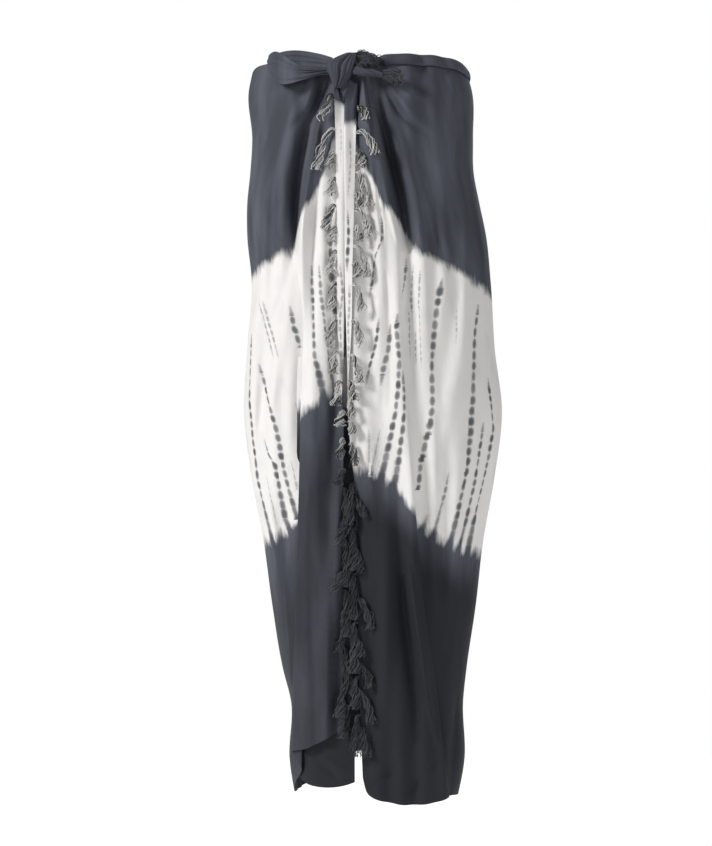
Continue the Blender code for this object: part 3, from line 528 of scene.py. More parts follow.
# Creases pulled in the cloth: height of the ridge or depth of the trough, half width at its
# middle, then X and height along it
FRONT_CREASES = (
    (-15, 9, ((-44, -4), (-58, -19), (-72, -45), (-83, -88), (-89, -131), (-93, -175), (-96, -218),
              (-99, -255))),
    (4, 7, ((-54, -32), (-63, -75), (-71, -117), (-78, -160), (-84, -195), (-89, -228),
            (-93, -256))),
    (5, 15, ((-92, -30), (-106, -90), (-114, -160), (-120, -240))),
    (-3, 6, ((-80, -44), (-92, -60), (-104, -72))),
    (2.5, 8, ((-60, 4), (-84, -6), (-108, -10))),
    (-16, 9, ((9, 0), (15, -18), (20, -39), (28, -61), (36, -85), (46, -120), (55, -154),
              (63, -198), (72, -244))),
    (5, 8, ((34, -28), (49, -73), (62, -117), (73, -160), (82, -203), (86, -239))),
    (4, 5, ((17, -76), (27, -123), (39, -183), (52, -234))),
    (-9, 3.2, ((-3, 4), (-4, -18), (-6, -45), (-8, -66))),
    (4, 4.5, ((3, -6), (7, -46), (13, -80), (20, -112), (27, -160), (30, -200))),
    (-4, 3.5, ((18, -114), (26, -173), (32, -234))),
    (-6, 5, ((32, -4), (41, -24), (52, -42), (66, -60), (84, -72), (102, -78))),
    (3.5, 6, ((42, -6), (58, -34), (78, -54))),
    (-6, 8, ((40, 18), (60, 6), (80, -6), (100, -14))),
    (2.4, 7, ((60, -4), (78, -18), (96, -28))),
    (3, 14, ((104, -100), (116, -160), (130, -215))),
    (-6, 9, ((88, -150), (94, -185), (103, -220), (114, -247), (128, -276))),
    (-5, 8, ((150, -90), (160, -160), (171, -225), (178, -262))),
    (-3.5, 7, ((-140, -130), (-148, -190), (-152, -250), (-154, -270))),
    (5, 10, ((-92, -244), (-104, -305), (-112, -362), (-120, -405), (-132, -463), (-143, -514))),
    (-4, 9, ((-116, -300), (-128, -380), (-140, -450), (-150, -500))),
    (2.5, 6, ((-62, -60), (-64, -130), (-70, -190))),
    (-4, 4, ((-60, -150), (-65, -190), (-68, -232), (-71, -276), (-70, -319), (-68, -377))),
    (7, 6, ((62, -680), (74, -738), (82, -796), (90, -853), (99, -906), (110, -960))),
    (-9, 9, ((60, -720), (64, -781), (70, -824), (76, -882), (80, -960))),
    (5, 14, ((30, -600), (34, -700), (34, -800), (32, -900))),
    (3, 8, ((22, -330), (26, -400), (24, -470))),
    (-3.5, 6, ((36, -280), (40, -330), (44, -400), (40, -470))),
    (-5, 7, ((8, -560), (11, -640), (12, -720), (12, -850), (14, -980))),
    (-4.5, 8, ((-38, -440), (-42, -560), (-42, -700), (-42, -880))),
    (3, 7, ((-76, -480), (-78, -600), (-80, -740), (-84, -880), (-84, -950))),
    (-3, 8, ((-122, -560), (-116, -640), (-108, -720), (-102, -800))),
    (3.5, 12, ((150, -300), (146, -380), (134, -460), (112, -560))),
    (-4, 12, ((124, -320), (122, -400), (116, -460))),
    (3.5, 10, ((150, -520), (142, -620), (132, -720), (122, -820))),
    (-4, 9, ((112, -560), (118, -650), (126, -740), (130, -840))),
    (3, 7, ((104, -480), (102, -540), (112, -620))),
    (-4, 6, ((142, -900), (136, -960), (134, -1010), (132, -1040))),
    (3, 8, ((6, -1010), (34, -990), (56, -978))),
    (-3, 7, ((12, -1030), (34, -1014), (60, -1000))),
    (-3, 9, ((60, -1044), (86, -1020), (110, -990))),
)


def smooth(levels, values, at):
    """Cubic curve through a table's column, read at one or more heights."""
    low_first = np.asarray(levels, float)[::-1]
    column = np.asarray(values, float)[::-1]
    slopes = np.gradient(column, low_first)
    height = np.clip(at, low_first[0], low_first[-1])
    index = np.clip(np.searchsorted(low_first, height, "right") - 1, 0, len(column) - 2)
    span = low_first[index + 1] - low_first[index]
    part = (height - low_first[index]) / span
    rest = 1 - part
    start = (1 + 2 * part) * rest ** 2 * column[index] + part * rest ** 2 * span * slopes[index]
    end = part ** 2 * (3 - 2 * part) * column[index + 1]
    return start + end - part ** 2 * rest * span * slopes[index + 1]


def spline(values, at):
    """Uniform cubic B-spline through the first and last of a row of control values."""
    values = np.asarray(values, float)
    ends = np.concatenate(([2 * values[0] - values[1]], values, [2 * values[-1] - values[-2]]))
    index = np.clip(np.floor(at).astype(int), 0, len(values) - 2)
    part = at - index
    weights = ((1 - part) ** 3, 3 * part ** 3 - 6 * part ** 2 + 4,
               -3 * part ** 3 + 3 * part ** 2 + 3 * part + 1, part ** 3)
    return sum(weight * ends[index + shift] for shift, weight in enumerate(weights)) / 6


def figure_section(height):
    """Angles, points, outward normals and running length of the figure at one height."""
    heights, *sides = zip(*FIGURE)
    left, right, front, back = (smooth(heights, side, height) for side in sides)
    angles = np.linspace(-180, 180, SECTION_POINTS + 1)
    across = np.sin(np.radians(angles))
    along = np.cos(np.radians(angles))
    power = 2 / SQUARENESS
    x = (left + right) / 2 + (right - left) / 2 * np.sign(across) * np.abs(across) ** power
    depth = np.where(along > 0, -front, back)
    y = -depth * np.sign(along) * np.abs(along) ** power
    length = np.concatenate(([0], np.cumsum(np.hypot(np.diff(x), np.diff(y)))))
    length -= np.interp(0, angles, length)
    tangent_x = np.gradient(x, length)
    tangent_y = np.gradient(y, length)
    size = np.hypot(tangent_x, tangent_y)
    return angles, x, y, tangent_y / size, -tangent_x / size, length


def on_figure(section, run, out):
    """X and Y at running lengths on a section, moved out."""
    _, x, y, normal_x, normal_y, length = section
    return (np.interp(run, length, x) + out * np.interp(run, length, normal_x),
            np.interp(run, length, y) + out * np.interp(run, length, normal_y))


def run_at(section, kind, where, side):
    """Running length of an X on the front, or of an angle from the front."""
    angles, x, _, _, _, length = section
    if kind == "angle":
        return np.interp(side * where, angles, length)
    front = np.abs(angles) <= 90
    return np.interp(where, x[front], length[front])


def columns_of(table, fineness):
    """Spline positions of the mesh columns, with each line's own number up to the next."""
    marks = []
    for number, fold in enumerate(table[:-1]):
        count = fold.columns * fineness
        marks += [number + part / count for part in range(count)]
    return np.array(marks + [len(table) - 1])


def plan_heights(tops, hems):
    """Heights of the sections that a panel is drawn on, from above its top to below its hem."""
    return np.arange(tops.max() + HEIGHT_STEP, hems.min() - HEIGHT_STEP, -HEIGHT_STEP)


def hang(plan, heights, tops, hems, rows):
    """Grid of points, row by row from each column's top to its hem, from the plan by height."""
    share = np.linspace(0, 1, rows + 1)
    points = np.zeros((rows + 1, len(tops), 3))
    for column, (top, hem) in enumerate(zip(tops, hems)):
        height = top + share * (hem - top)
        for k in (0, 1):
            points[:, column, k] = np.interp(-height, -heights, plan[:, column, k])
        points[:, column, 2] = height
    return points


def panel_points(table, side, fineness, rows):
    """Grid of points of a panel, and the spline positions of its columns."""
    marks = columns_of(table, fineness)
    tops = spline([fold.top for fold in table], marks)
    hems = spline([fold.hem for fold in table], marks)
    heights = plan_heights(tops, hems)
    plan = np.zeros((len(heights), len(marks), 2))
    for level, height in enumerate(heights):
        section = figure_section(height)
        runs = [run_at(section, fold.kind, smooth(LEVELS, fold.where, height), side) for fold in table]
        outs = [smooth(LEVELS, fold.out, height) for fold in table]
        plan[level] = np.stack(on_figure(section, spline(runs, marks), spline(outs, marks)), axis=1)
    return hang(plan, heights, tops, hems, rows), marks


def grid_normals(points, side):
    """Unit normals on a grid's outer side. Side is 1 where its columns run to the right."""
    down = np.gradient(points, axis=0)
    along = np.gradient(points, axis=1, edge_order=2)
    normals = -side * np.cross(along, down)
    return normals / np.linalg.norm(normals, axis=2, keepdims=True)


def crease_relief(x, height, creases):
    """Rise of the cloth at points given by X and height. Creases are widest at their middle."""
    relief = np.zeros(x.shape)
    for rise, half_width, line in creases:
        stations = np.array(line, float)
        fine = np.linspace(0, len(line) - 1, CREASE_POINTS * len(line))
        path = np.stack([spline(stations[:, k], fine) for k in (0, 1)], axis=1)
        nearest = np.full(x.shape, np.inf)
        share = np.zeros(x.shape)
        for number, (path_x, path_z) in enumerate(path):
            distance = np.hypot(x - path_x, height - path_z)
            nearer = distance < nearest
            nearest[nearer] = distance[nearer]
            share[nearer] = number / (len(path) - 1)
        bulge = np.sin(np.pi * np.clip(share, 0.02, 0.98))
        width = half_width * (CREASE_END + (1 - CREASE_END) * bulge)
        fade = np.sin(np.pi * np.clip(0.06 + 0.88 * share, 0, 1)) ** 0.7
        relief += rise * fade * np.exp(-(nearest / width) ** 2)
    return relief


def ripples(run, height, seed, size):
    """Slow uneven ripples, long from top to hem and short across."""
    chance = np.random.default_rng(seed)
    relief = np.zeros(run.shape)
    for _ in range(RIPPLE_COUNT):
        across = 2 * math.pi / chance.uniform(*RIPPLE_WIDTHS)
        down = 2 * math.pi / chance.uniform(*RIPPLE_LENGTHS) * chance.choice((-1, 1))
        start = chance.uniform(*RIPPLE_STARTS)
        relief += math.sqrt(2 / RIPPLE_COUNT) * np.cos(across * run + down * height + start)
    return size * relief


def led_into_dark(line, bottom):
    """A bead line, led on into the lower dark part where it ends just above it."""
    (x_before, z_before), (x_last, z_last) = line[-2:]
    if z_last > bottom + NEAR_DARK:
        return line
    lower = bottom - INTO_DARK
    lean = (x_last - x_before) / (z_last - z_before)
    return line + ((x_last + lean * (lower - z_last), lower),)


def running_lengths(points):
    """Steps along each row of a grid, and the running length at each of its points."""
    step = np.linalg.norm(np.diff(points, axis=1), axis=2)
    return step, np.concatenate((np.zeros((len(points), 1)), np.cumsum(step, axis=1)), axis=1)


def line_crossing(row, run, step, inside, wanted):
    """Where a bead line that wants an X crosses a row of points: its column and running length."""
    off = row[inside, 0] - wanted
    best = int(np.argmin(np.abs(off)))
    column = inside[best]
    if abs(off[best]) > UNDER_FOLD:
        return column, None
    beside = min(max(column, 1), len(row) - 2)
    slope = (run[beside + 1] - run[beside - 1]) / (row[beside + 1, 0] - row[beside - 1, 0] or 1.0)
    reach = step[min(column, len(row) - 2)]
    return column, run[column] - np.clip(off[best] * slope, -reach, reach)


def bead_lanes(points, table, marks, beads, bottoms):
    """Number of the nearest bead line plus the share of BEAD_SPACING from it, and its strength."""
    names = [fold.name for fold in table]
    step, run = running_lengths(points)
    lane = np.full(run.shape, HALF_LANE)
    strength = np.zeros(run.shape)
    nearest = np.full(run.shape, np.inf)
    for number, (power, first, last, line) in enumerate(beads, 1):
        inside = np.where((marks >= names.index(first)) & (marks <= names.index(last)))[0]
        end_row = int(np.argmin(np.abs(points[:, inside[0], 2] - line[-1][1])))
        end_column = inside[int(np.argmin(np.abs(points[end_row, inside, 0] - line[-1][0])))]
        stations, heights = np.array(led_into_dark(line, bottoms[0, end_column]), float).T
        for level, row in enumerate(points):
            wanted = np.interp(-row[inside, 2], -heights, stations)
            column, crossing = line_crossing(row, run[level], step[level], inside, wanted)
            to_end = min(heights.max() - row[column, 2], row[column, 2] - heights.min())
            if crossing is None or to_end < 0:
                continue
            away = run[level] - crossing
            nearer = np.abs(away) < nearest[level]
            nearest[level, nearer] = np.abs(away)[nearer]
            lane[level, nearer] = number + np.clip(away[nearer] / BEAD_SPACING, -HALF_LANE, HALF_LANE)
            fade = min(1.0, to_end / BEAD_FADE)
            strength[level, nearer] = fade * power * (np.abs(away[nearer]) < BEAD_REACH)
    return lane, strength


def finish_cloth(name, mesh, values, map_x, map_y):
    """Object of a cloth mesh, with its float attributes and its cloth map, given at each point."""
    for label, given in values.items():
        mesh.attributes.new(label, "FLOAT", "POINT").data.foreach_set("value", given.astype(np.float32))
    corners = np.zeros(len(mesh.loops), int)
    mesh.loops.foreach_get("vertex_index", corners)
    cloth_map = mesh.uv_layers.new(name="cloth")
    cloth_map.data.foreach_set("uv", np.stack((map_x[corners], map_y[corners]), axis=1).ravel() * MM)
    mesh.shade_smooth()
    mesh.materials.append(dyed_cloth)
    thing = bpy.data.objects.new(name, mesh)
    scene.collection.objects.link(thing)
    return thing


def cloth_mesh(name, outer, normals, values):
    """Thin closed shell under a grid of outer points, with its cloth map and float attributes."""
    rows, columns = outer.shape[:2]
    count = rows * columns
    index = np.arange(count).reshape(rows, columns)
    corners = (index[:-1, :-1], index[1:, :-1], index[1:, 1:], index[:-1, 1:])
    quads = np.stack(corners, axis=-1).reshape(-1, 4)
    rim = np.concatenate((index[0, :], index[1:, -1], index[-1, -2::-1], index[-2:0:-1, 0]))
    after = np.roll(rim, -1)
    edge = np.stack((rim, after, after + count, rim + count), axis=-1)
    middle = quads[len(quads) // 2]
    first, second, third = outer.reshape(-1, 3)[middle[:3]]
    if np.cross(second - first, third - first) @ normals.reshape(-1, 3)[middle[0]] < 0:
        quads = quads[:, ::-1]
        edge = edge[:, ::-1]
    inner = outer - SHELL * normals
    points = np.concatenate((outer.reshape(-1, 3), inner.reshape(-1, 3))) * MM
    mesh = bpy.data.meshes.new(name)
    mesh.from_pydata(points, [], np.concatenate((quads, quads[:, ::-1] + count, edge)).tolist())
    run = np.concatenate(([0], np.cumsum(running_lengths(outer)[0].mean(axis=0))))
    doubled = {label: np.tile(grid.reshape(-1), 2) for label, grid in values.items()}
    thing = finish_cloth(name, mesh, doubled,
                         np.tile(run, 2 * rows), np.tile(outer[:, :, 2].reshape(-1), 2))
    mesh.set_sharp_from_angle(angle=SHARP_ANGLE)
    return thing


def dye_depth(points, tops, bottoms):
    """Millimetres into the dark dye, above the band's top and below its bottom."""
    height = points[:, :, 2]
    return np.maximum(height - tops, bottoms - height)


def foot_depth(below, rate, most):
    """Depth below the band that darkens the cloth, which differs round the cloth."""
    return np.where(below > 0, np.minimum(below * rate, most), below)


def front_panel(name, table, side, fineness, rows, beads, foot, seed):
    """One front, with its creases, dye and bead lines. Foot says how it darkens to the hem."""
    points, marks = panel_points(table, side, fineness, rows)
    x, y, height = (points[:, :, k] for k in range(3))
    relief = crease_relief(x, height, FRONT_CREASES) + ripples(x, height, seed, FRONT_RIPPLE)
    facing_front = np.clip(-y / FLAT_FRONT, 0, 1)
    to_seam = np.clip((marks[-1] - marks) / 2, 0, 1)[None, :]
    outer = points.copy()
    outer[:, :, 1] -= DRAPE * relief * facing_front * to_seam
    tops = spline([fold.band_top for fold in table], marks)[None, :]
    bottoms = spline([fold.band_bottom for fold in table], marks)[None, :]
    lane, strength = bead_lanes(outer, table, marks, beads, bottoms)
    normals = grid_normals(outer, side)
    thing = cloth_mesh(name + "_cloth", outer, normals,
                       {"dye": dye_depth(outer, tops, bottoms),
                        "below_band": foot_depth(bottoms - height, *foot),
                        "lane": lane, "bead": strength})
    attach(thing, "root")
    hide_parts(name)
    return thing, outer, normals


left_cloth, left_grid, _ = front_panel(
    "left_front", LEFT_FRONT, -1, LEFT_FINENESS, LEFT_ROWS, LEFT_BEADS, LEFT_FOOT, seed=3)
right_cloth, right_grid, right_normals = front_panel(
    "right_front", RIGHT_FRONT, 1, RIGHT_FINENESS, RIGHT_ROWS, RIGHT_BEADS, RIGHT_FOOT, seed=4)

# The back
# The same cloth goes on round the back from side to side, pulled tight under the shoulder
# blades and falling in soft upright folds to the hem.

# Folds: angle round from the front, hem height, stand-out at top and at hem
BACK_FOLDS = (
    (SEAM_ANGLE, -1051, 0, 0),
    (112, -1050, 0, 1),
    (124, -1046, 3, 6),
    (136, -1034, -2, -5),
    (149, -1016, 2, 6),
    (162, -1003, -2, -5),
    (176, -998, 1, 5),
    (190, -1000, -2, -6),
    (203, -1010, 2, 4),
    (216, -1022, -1, -5),
    (229, -1038, 2, 6),
    (243, -1049, 0, 1),
    (360 - SEAM_ANGLE, -1053, 0, 0),
)
BACK_TOP = (12, 8, 3, 0, -2, -3, -3, -3, -2, 0, 4, 9, 13)
BACK_DYE_TOP = (-288, -284, -276, -268, -262, -256, -252, -254, -262, -274, -290, -308, -324)
BACK_DYE_BOTTOM = (-687, -682, -676, -668, -655, -640, -632, -636, -648, -664, -682, -696, -706)
BACK_COLUMNS = 12
BACK_ROWS = 280
BACK_HIGH = 5
BACK_LOW = -1035
BACK_RIPPLE = 1.2
BACK_SEED = 5
BACK_EDGE = 0.8

# The back's bead lines: their strengths, how they sway by height (size, length and start), and
# the number that they count from, which keeps their beads unlike those in front
BACK_BEAD_POWERS = (0.9, 0.7, 1.0, 0.8, 0.6, 0.9, 0.8, 1.0, 0.7, 0.9)
BACK_SWAYS = ((0.22, 95, 0), (0.12, 41, 1.0))
BACK_LANE_START = 30

# Creases of the back: rise or depth, half width, then angle round from the front and height
BACK_CREASES = (
    (-2.4, 8, ((118, -30), (128, -90), (136, -190), (140, -280))),
    (2.2, 9, ((132, -40), (142, -120), (150, -230))),
    (-2.2, 8, ((158, -20), (166, -120), (170, -240))),
    (2.0, 9, ((186, -60), (184, -180), (188, -300))),
    (-2.4, 8, ((208, -20), (202, -130), (198, -260))),
    (2.2, 9, ((230, -40), (222, -140), (216, -250))),
    (-2.2, 8, ((244, -60), (236, -150), (232, -230))),
    (2.4, 10, ((140, -520), (146, -640), (150, -800), (149, -960))),
    (-2.6, 10, ((154, -500), (158, -660), (162, -840), (163, -980))),
    (2.4, 9, ((170, -560), (174, -700), (176, -880))),
    (-2.6, 10, ((192, -520), (190, -700), (191, -860), (190, -970))),
    (2.4, 10, ((206, -540), (204, -700), (203, -860))),
    (-2.4, 9, ((222, -520), (218, -680), (216, -850), (216, -980))),
)


def back_points():
    """Grid of points of the back, from the left seam round to the right one."""
    marks = np.linspace(0, len(BACK_FOLDS) - 1, BACK_COLUMNS * (len(BACK_FOLDS) - 1) + 1)
    turns, hem_heights, at_top, at_hem = (np.array(column, float) for column in zip(*BACK_FOLDS))
    tops = spline(BACK_TOP, marks)
    hems = spline(hem_heights, marks)
    signed = np.where(turns <= 180, -turns, 360 - turns)
    heights = plan_heights(tops, hems)
    plan = np.zeros((len(heights), len(marks), 2))
    for level, height in enumerate(heights):
        section = figure_section(height)
        angles, length = section[0], section[5]
        girth = length[-1] - length[0]
        runs = np.interp(signed, angles, length)
        run = spline(np.where(runs < 0, runs, runs - girth), marks)
        wrapped = np.where(run >= length[0], run, run + girth)
        part = np.clip((height - BACK_HIGH) / (BACK_LOW - BACK_HIGH), 0, 1)
        outs = at_top + part * (at_hem - at_top)
        plan[level] = np.stack(on_figure(section, wrapped, spline(outs, marks)), axis=1)
    return hang(plan, heights, tops, hems, BACK_ROWS), marks


def make_back():
    """The back, with its creases, dye and bead lines."""
    points, marks = back_points()
    height = points[:, :, 2]
    run = running_lengths(points)[1]
    middle = run[len(run) // 2]
    chart = np.tile(middle, (len(points), 1))
    angles = np.interp(marks, range(len(BACK_FOLDS)), [fold[0] for fold in BACK_FOLDS])
    creases = [(rise, half_width, [(np.interp(angle, angles, middle), level) for angle, level in line])
               for rise, half_width, line in BACK_CREASES]
    relief = crease_relief(chart, height, creases) + ripples(chart, height, BACK_SEED, BACK_RIPPLE)
    ends = np.clip(np.minimum(marks, marks[-1] - marks) / BACK_EDGE, 0, 1)[None, :]
    outer = points + (DRAPE * relief * ends)[:, :, None] * grid_normals(points, -1)

    # Bead lines stand at even distances and sway most at the middle of the back
    height = outer[:, :, 2]
    share = chart / middle[-1]
    sway = sum(size * np.sin(height / length + start) for size, length, start in BACK_SWAYS)
    lane = share * len(BACK_BEAD_POWERS) + sway * np.sin(np.pi * share) - 0.5
    nearest = np.clip(np.round(lane).astype(int), 0, len(BACK_BEAD_POWERS) - 1)
    tops = spline(BACK_DYE_TOP, marks)[None, :]
    bottoms = spline(BACK_DYE_BOTTOM, marks)[None, :]
    rate, most = (np.linspace(left, right, len(marks)) for left, right in zip(LEFT_FOOT, RIGHT_FOOT))
    return cloth_mesh("back_cloth", outer, grid_normals(outer, -1),
                      {"dye": dye_depth(outer, tops, bottoms),
                       "below_band": foot_depth(bottoms - height, rate, most),
                       "lane": lane + BACK_LANE_START,
                       "bead": np.array(BACK_BEAD_POWERS)[nearest]})


back_cloth = make_back()
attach(back_cloth, "root")
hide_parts("back")

# The layer under the left front
# The cloth's lower layer in the left pleat shows below the left front's raised hem, down to a
# hem of its own. It is the same cloth, dark there.
LEFT_UNDER = folds(
    ("edge", 1, -400, -1023, 0, 0, "x", (-11,) * len(LEVELS), (-13,) * len(LEVELS)),
    ("slit", 2, -400, -1029, 0, 0, "x", (-27,) * len(LEVELS), (-13,) * len(LEVELS)),
    ("middle", 2, -400, -1032, 0, 0, "x", (-46,) * len(LEVELS), (-8,) * len(LEVELS)),
    ("pleat", 2, -400, -1032, 0, 0, "x", (-68,) * len(LEVELS), (-4,) * len(LEVELS)),
    ("tucked", 2, -400, -1028, 0, 0, "x", (-86, -86, -86, -86, -86, -86, -84, -85, -88, -89, -88),
     (-3.6, -3.6, -3.6, -3.6, -3.6, -3.6, -3.2, -3.2, -3.4, -3.8, -3.8)),
    ("end", 1, -400, -1018, 0, 0, "x", (-96, -96, -96, -96, -96, -96, -94, -96, -99, -97, -95),
     (-3.6, -3.6, -3.6, -3.6, -3.6, -3.6, -3.0, -3.0, -3.2, -3.8, -3.8)),
)
UNDER_CREASES = (
    (-1.6, 5, ((-84, -988), (-86, -1000), (-88, -1010))),
    (-2.0, 6, ((-72, -984), (-52, -1000), (-34, -1020))),
    (1.6, 6, ((-60, -984), (-42, -996), (-24, -1008))),
)
UNDER_DYE = -470
UNDER_FINENESS = 8
UNDER_ROWS = 200


def make_under():
    """The lower layer, with the creases above its hem."""
    points, _ = panel_points(LEFT_UNDER, -1, UNDER_FINENESS, UNDER_ROWS)
    points[:, :, 1] -= crease_relief(points[:, :, 0], points[:, :, 2], UNDER_CREASES)
    depth = UNDER_DYE - points[:, :, 2]
    no_beads = np.zeros(depth.shape)
    return cloth_mesh("left_under_cloth", points, grid_normals(points, -1),
                      {"dye": depth, "below_band": depth, "lane": no_beads, "bead": no_beads})


under_cloth = make_under()
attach(under_cloth, "root")
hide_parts("left_under")

# The bow loop
# The folded top border of one corner stands out left of the knot as a flattened loop, drawn
# together in pleats where it goes into the knot.

# Stations along the loop: X, stand-out, and heights of its low and high edges
LOOP = (
    (-47.8, 18, 7, 16),
    (-63, 21, 3, 14),
    (-76, 24, -2, 16),
    (-90, 27, -7, 25),
    (-103, 26, -9, 38),
    (-114, 22, -3, 45),
    (-124, 17, 7, 41),
    (-129, 12, 15, 37),
    (-124, 7.5, 15, 41),
    (-112, 6.5, 12, 45),
    (-98, 6.5, 9, 46),
    (-82, 7, 7, 44),
    (-66, 7.5, 6, 40),
    (-52, 8, 6, 36),
    (-40, 8, 6, 31),
)
LOOP_BEND = 7
LOOP_TURN = 0.7
LOOP_ROWS = 44
LOOP_COLUMNS = 170
LOOP_PUFF = 4.0

# Pleats: size, how many there are across, how they lean towards the knot, and their start
LOOP_PLEATS = ((1.35, 2.6, 0.35, 0), (0.75, 5.3, -0.5, 1))

# Creases: rise or depth, place across, how they lean towards the knot, and half width
LOOP_CREASES = ((1.6, 0.30, -0.10, 0.09), (-2.2, 0.52, -0.22, 0.07), (1.8, 0.74, 0.06, 0.08))

# The loop, the knot, the tail and the rolled border lie deep in the dark dye
DEEP_IN_DYE = 60.0
FAR_ABOVE_FOOT = -300.0


def place(x, height, out):
    """Millimetres of a point in front of the figure, moved out from it."""
    section = figure_section(height)
    at_x, at_y = on_figure(section, run_at(section, "x", x, 1), out)
    return np.array((float(at_x), float(at_y), height))


def all_dark(shape):
    """Float attributes of cloth that is dark all over."""
    return {"dye": np.full(shape, DEEP_IN_DYE), "below_band": np.full(shape, FAR_ABOVE_FOOT),
            "lane": np.zeros(shape), "bead": np.zeros(shape)}


def pleats(rows, across, along):
    """Sum of the pleats of a table, at a share across the cloth and a share along it."""
    return sum(size * np.sin(2 * math.pi * (count * across + lean * along) + start)
               for size, count, lean, start in rows)


def make_loop():
    """The loop as a band through its stations, pleated lengthways towards the knot."""
    marks = np.linspace(0, len(LOOP) - 1, LOOP_COLUMNS)
    x, out, low, high = (spline(column, marks) for column in zip(*LOOP))
    leaf = np.where(marks < LOOP_BEND, 1.0, -1.0) * np.clip(np.abs(marks - LOOP_BEND) / LOOP_TURN, 0, 1)
    to_knot = np.abs(marks - LOOP_BEND) / LOOP_BEND
    points = np.zeros((LOOP_ROWS, LOOP_COLUMNS, 3))
    for station, gather in enumerate(to_knot):
        for level, part in enumerate(np.linspace(0, 1, LOOP_ROWS)):
            arch = math.sin(math.pi * part)
            rise = LOOP_PUFF * arch * (1 - 0.5 * gather) + gather * pleats(LOOP_PLEATS, part, gather)
            rise += sum(size * math.exp(-((part - at - lean * gather) / half) ** 2)
                        for size, at, lean, half in LOOP_CREASES)
            height = high[station] + part * (low[station] - high[station])
            stand_out = out[station] + leaf[station] * arch ** 0.5 * rise
            points[level, station] = place(x[station], height, stand_out)
    return cloth_mesh("bow_loop", points, grid_normals(points, -1), all_dark(points.shape[:2]))


bow_loop = make_loop()
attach(bow_loop, "root")
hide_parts("loop")

# The knot
# A turn of the gathered border goes over both corners and is pulled tight. It is full and
# pleated in front and flat behind, with the other corner's tip hanging out below.

# Levels of the knot: height, left and right X, and how full it is in front
KNOT = (
    (37, -22, -7, 7),
    (31, -36, -6, 14),
    (21, -50, -8, 19),
    (9, -47, -11, 20),
    (-3, -41, -18, 16),
    (-15, -38, -28, 9),
)
KNOT_BACK = 11.3
KNOT_LEVELS = 45
KNOT_FRONT_POINTS = 72
KNOT_BACK_POINTS = 24
KNOT_LEAST = 2

# How full the knot is across its front, with its pleats, and how far they slant to its foot
KNOT_PLEATS = (0.0, 0.60, 0.80, 0.90, 0.97, 1.02, 1.05, 1.04, 0.98,
               0.70, 0.98, 1.0, 0.66, 0.95, 0.60, 0.84, 0.0)
KNOT_SLANT = 2.2
KNOT_UPRIGHT_AT = 0.35
KNOT_FINE_PLEATS = ((0.02, 9.5, 0.5, 0), (0.02, 15, -0.4, 0.7))

# Stations of the two hanging tips: X, height, stand-out and radius
TIP = (
    (-37, -13, 17, 3.4),
    (-37, -18, 17.5, 5.2),
    (-34.5, -25, 16.5, 5.0),
    (-31, -32, 15, 2.4),
)
TUCKED_CORNER = (
    (-23, -4, 10, 6.0),
    (-23.5, -12, 10, 7.5),
    (-24.5, -20, 9.5, 7.0),
    (-25.5, -28, 8.5, 4.6),
    (-26, -35, 8, 1.8),
)
ROPE_STRANDS = 3
FINE_STRANDS = 7
FINE_GROOVE = 0.03
TIP_GROOVE = 0.3


def closed_tube(name, rings):
    """Closed skin through rings of points, with its cloth map and the dark dye's attributes."""
    rings = np.asarray(rings)
    levels, around = rings.shape[:2]
    index = np.arange(levels * around).reshape(levels, around)
    beside = np.roll(index, -1, axis=1)
    sides = np.stack((index[:-1], beside[:-1], beside[1:], index[1:]), axis=-1).reshape(-1, 4)
    mesh = bpy.data.meshes.new(name)
    mesh.from_pydata(rings.reshape(-1, 3) * MM, [],
                     sides.tolist() + [index[0, ::-1].tolist(), index[-1].tolist()])
    shell = bmesh.new()
    shell.from_mesh(mesh)
    bmesh.ops.recalc_face_normals(shell, faces=shell.faces)
    shell.to_mesh(mesh)
    shell.free()
    down = np.concatenate(([0], np.cumsum(np.linalg.norm(np.diff(rings.mean(axis=1), axis=0), axis=1))))
    round_it = np.minimum(np.arange(around), around - np.arange(around))
    return finish_cloth(name, mesh, all_dark(levels * around),
                        np.tile(round_it, levels), np.repeat(down, around))


def knot_rings():
    """Rings of the knot from the top down: over the front and back again behind."""
    marks = np.linspace(0, len(KNOT) - 1, KNOT_LEVELS)
    front = np.linspace(0, 1, KNOT_FRONT_POINTS)
    last = len(KNOT_PLEATS) - 1
    rings = []
    for mark, height, left, right, depth in zip(marks, *(spline(column, marks) for column in zip(*KNOT))):
        slant = KNOT_SLANT * (mark / (len(KNOT) - 1) - KNOT_UPRIGHT_AT) * np.sin(np.pi * front)
        fullness = spline(KNOT_PLEATS, np.clip(front * last + slant, 0, last))
        fullness += pleats(KNOT_FINE_PLEATS, front, mark / len(KNOT)) * np.sin(np.pi * front)
        stand_out = KNOT_BACK + KNOT_LEAST + np.maximum(fullness, 0) * depth
        ring = [place(left + (right - left) * part, height, out) for part, out in zip(front, stand_out)]
        ring += [place(left + (right - left) * part, height, KNOT_BACK)
                 for part in np.linspace(1, 0, KNOT_BACK_POINTS)]
        rings.append(ring)
    return rings


def carry_frame(points, up):
    """Two axes across a path at each of its points, carried along without twisting."""
    frames = []
    ahead = (points[1] - points[0]).normalized()
    axis = (up - up.dot(ahead) * ahead).normalized()
    for k in range(len(points)):
        new_ahead = (points[min(k + 1, len(points) - 1)] - points[max(k - 1, 0)]).normalized()
        axis = (ahead.rotation_difference(new_ahead) @ axis).normalized()
        ahead = new_ahead
        frames.append((axis.copy(), ahead.cross(axis)))
    return frames


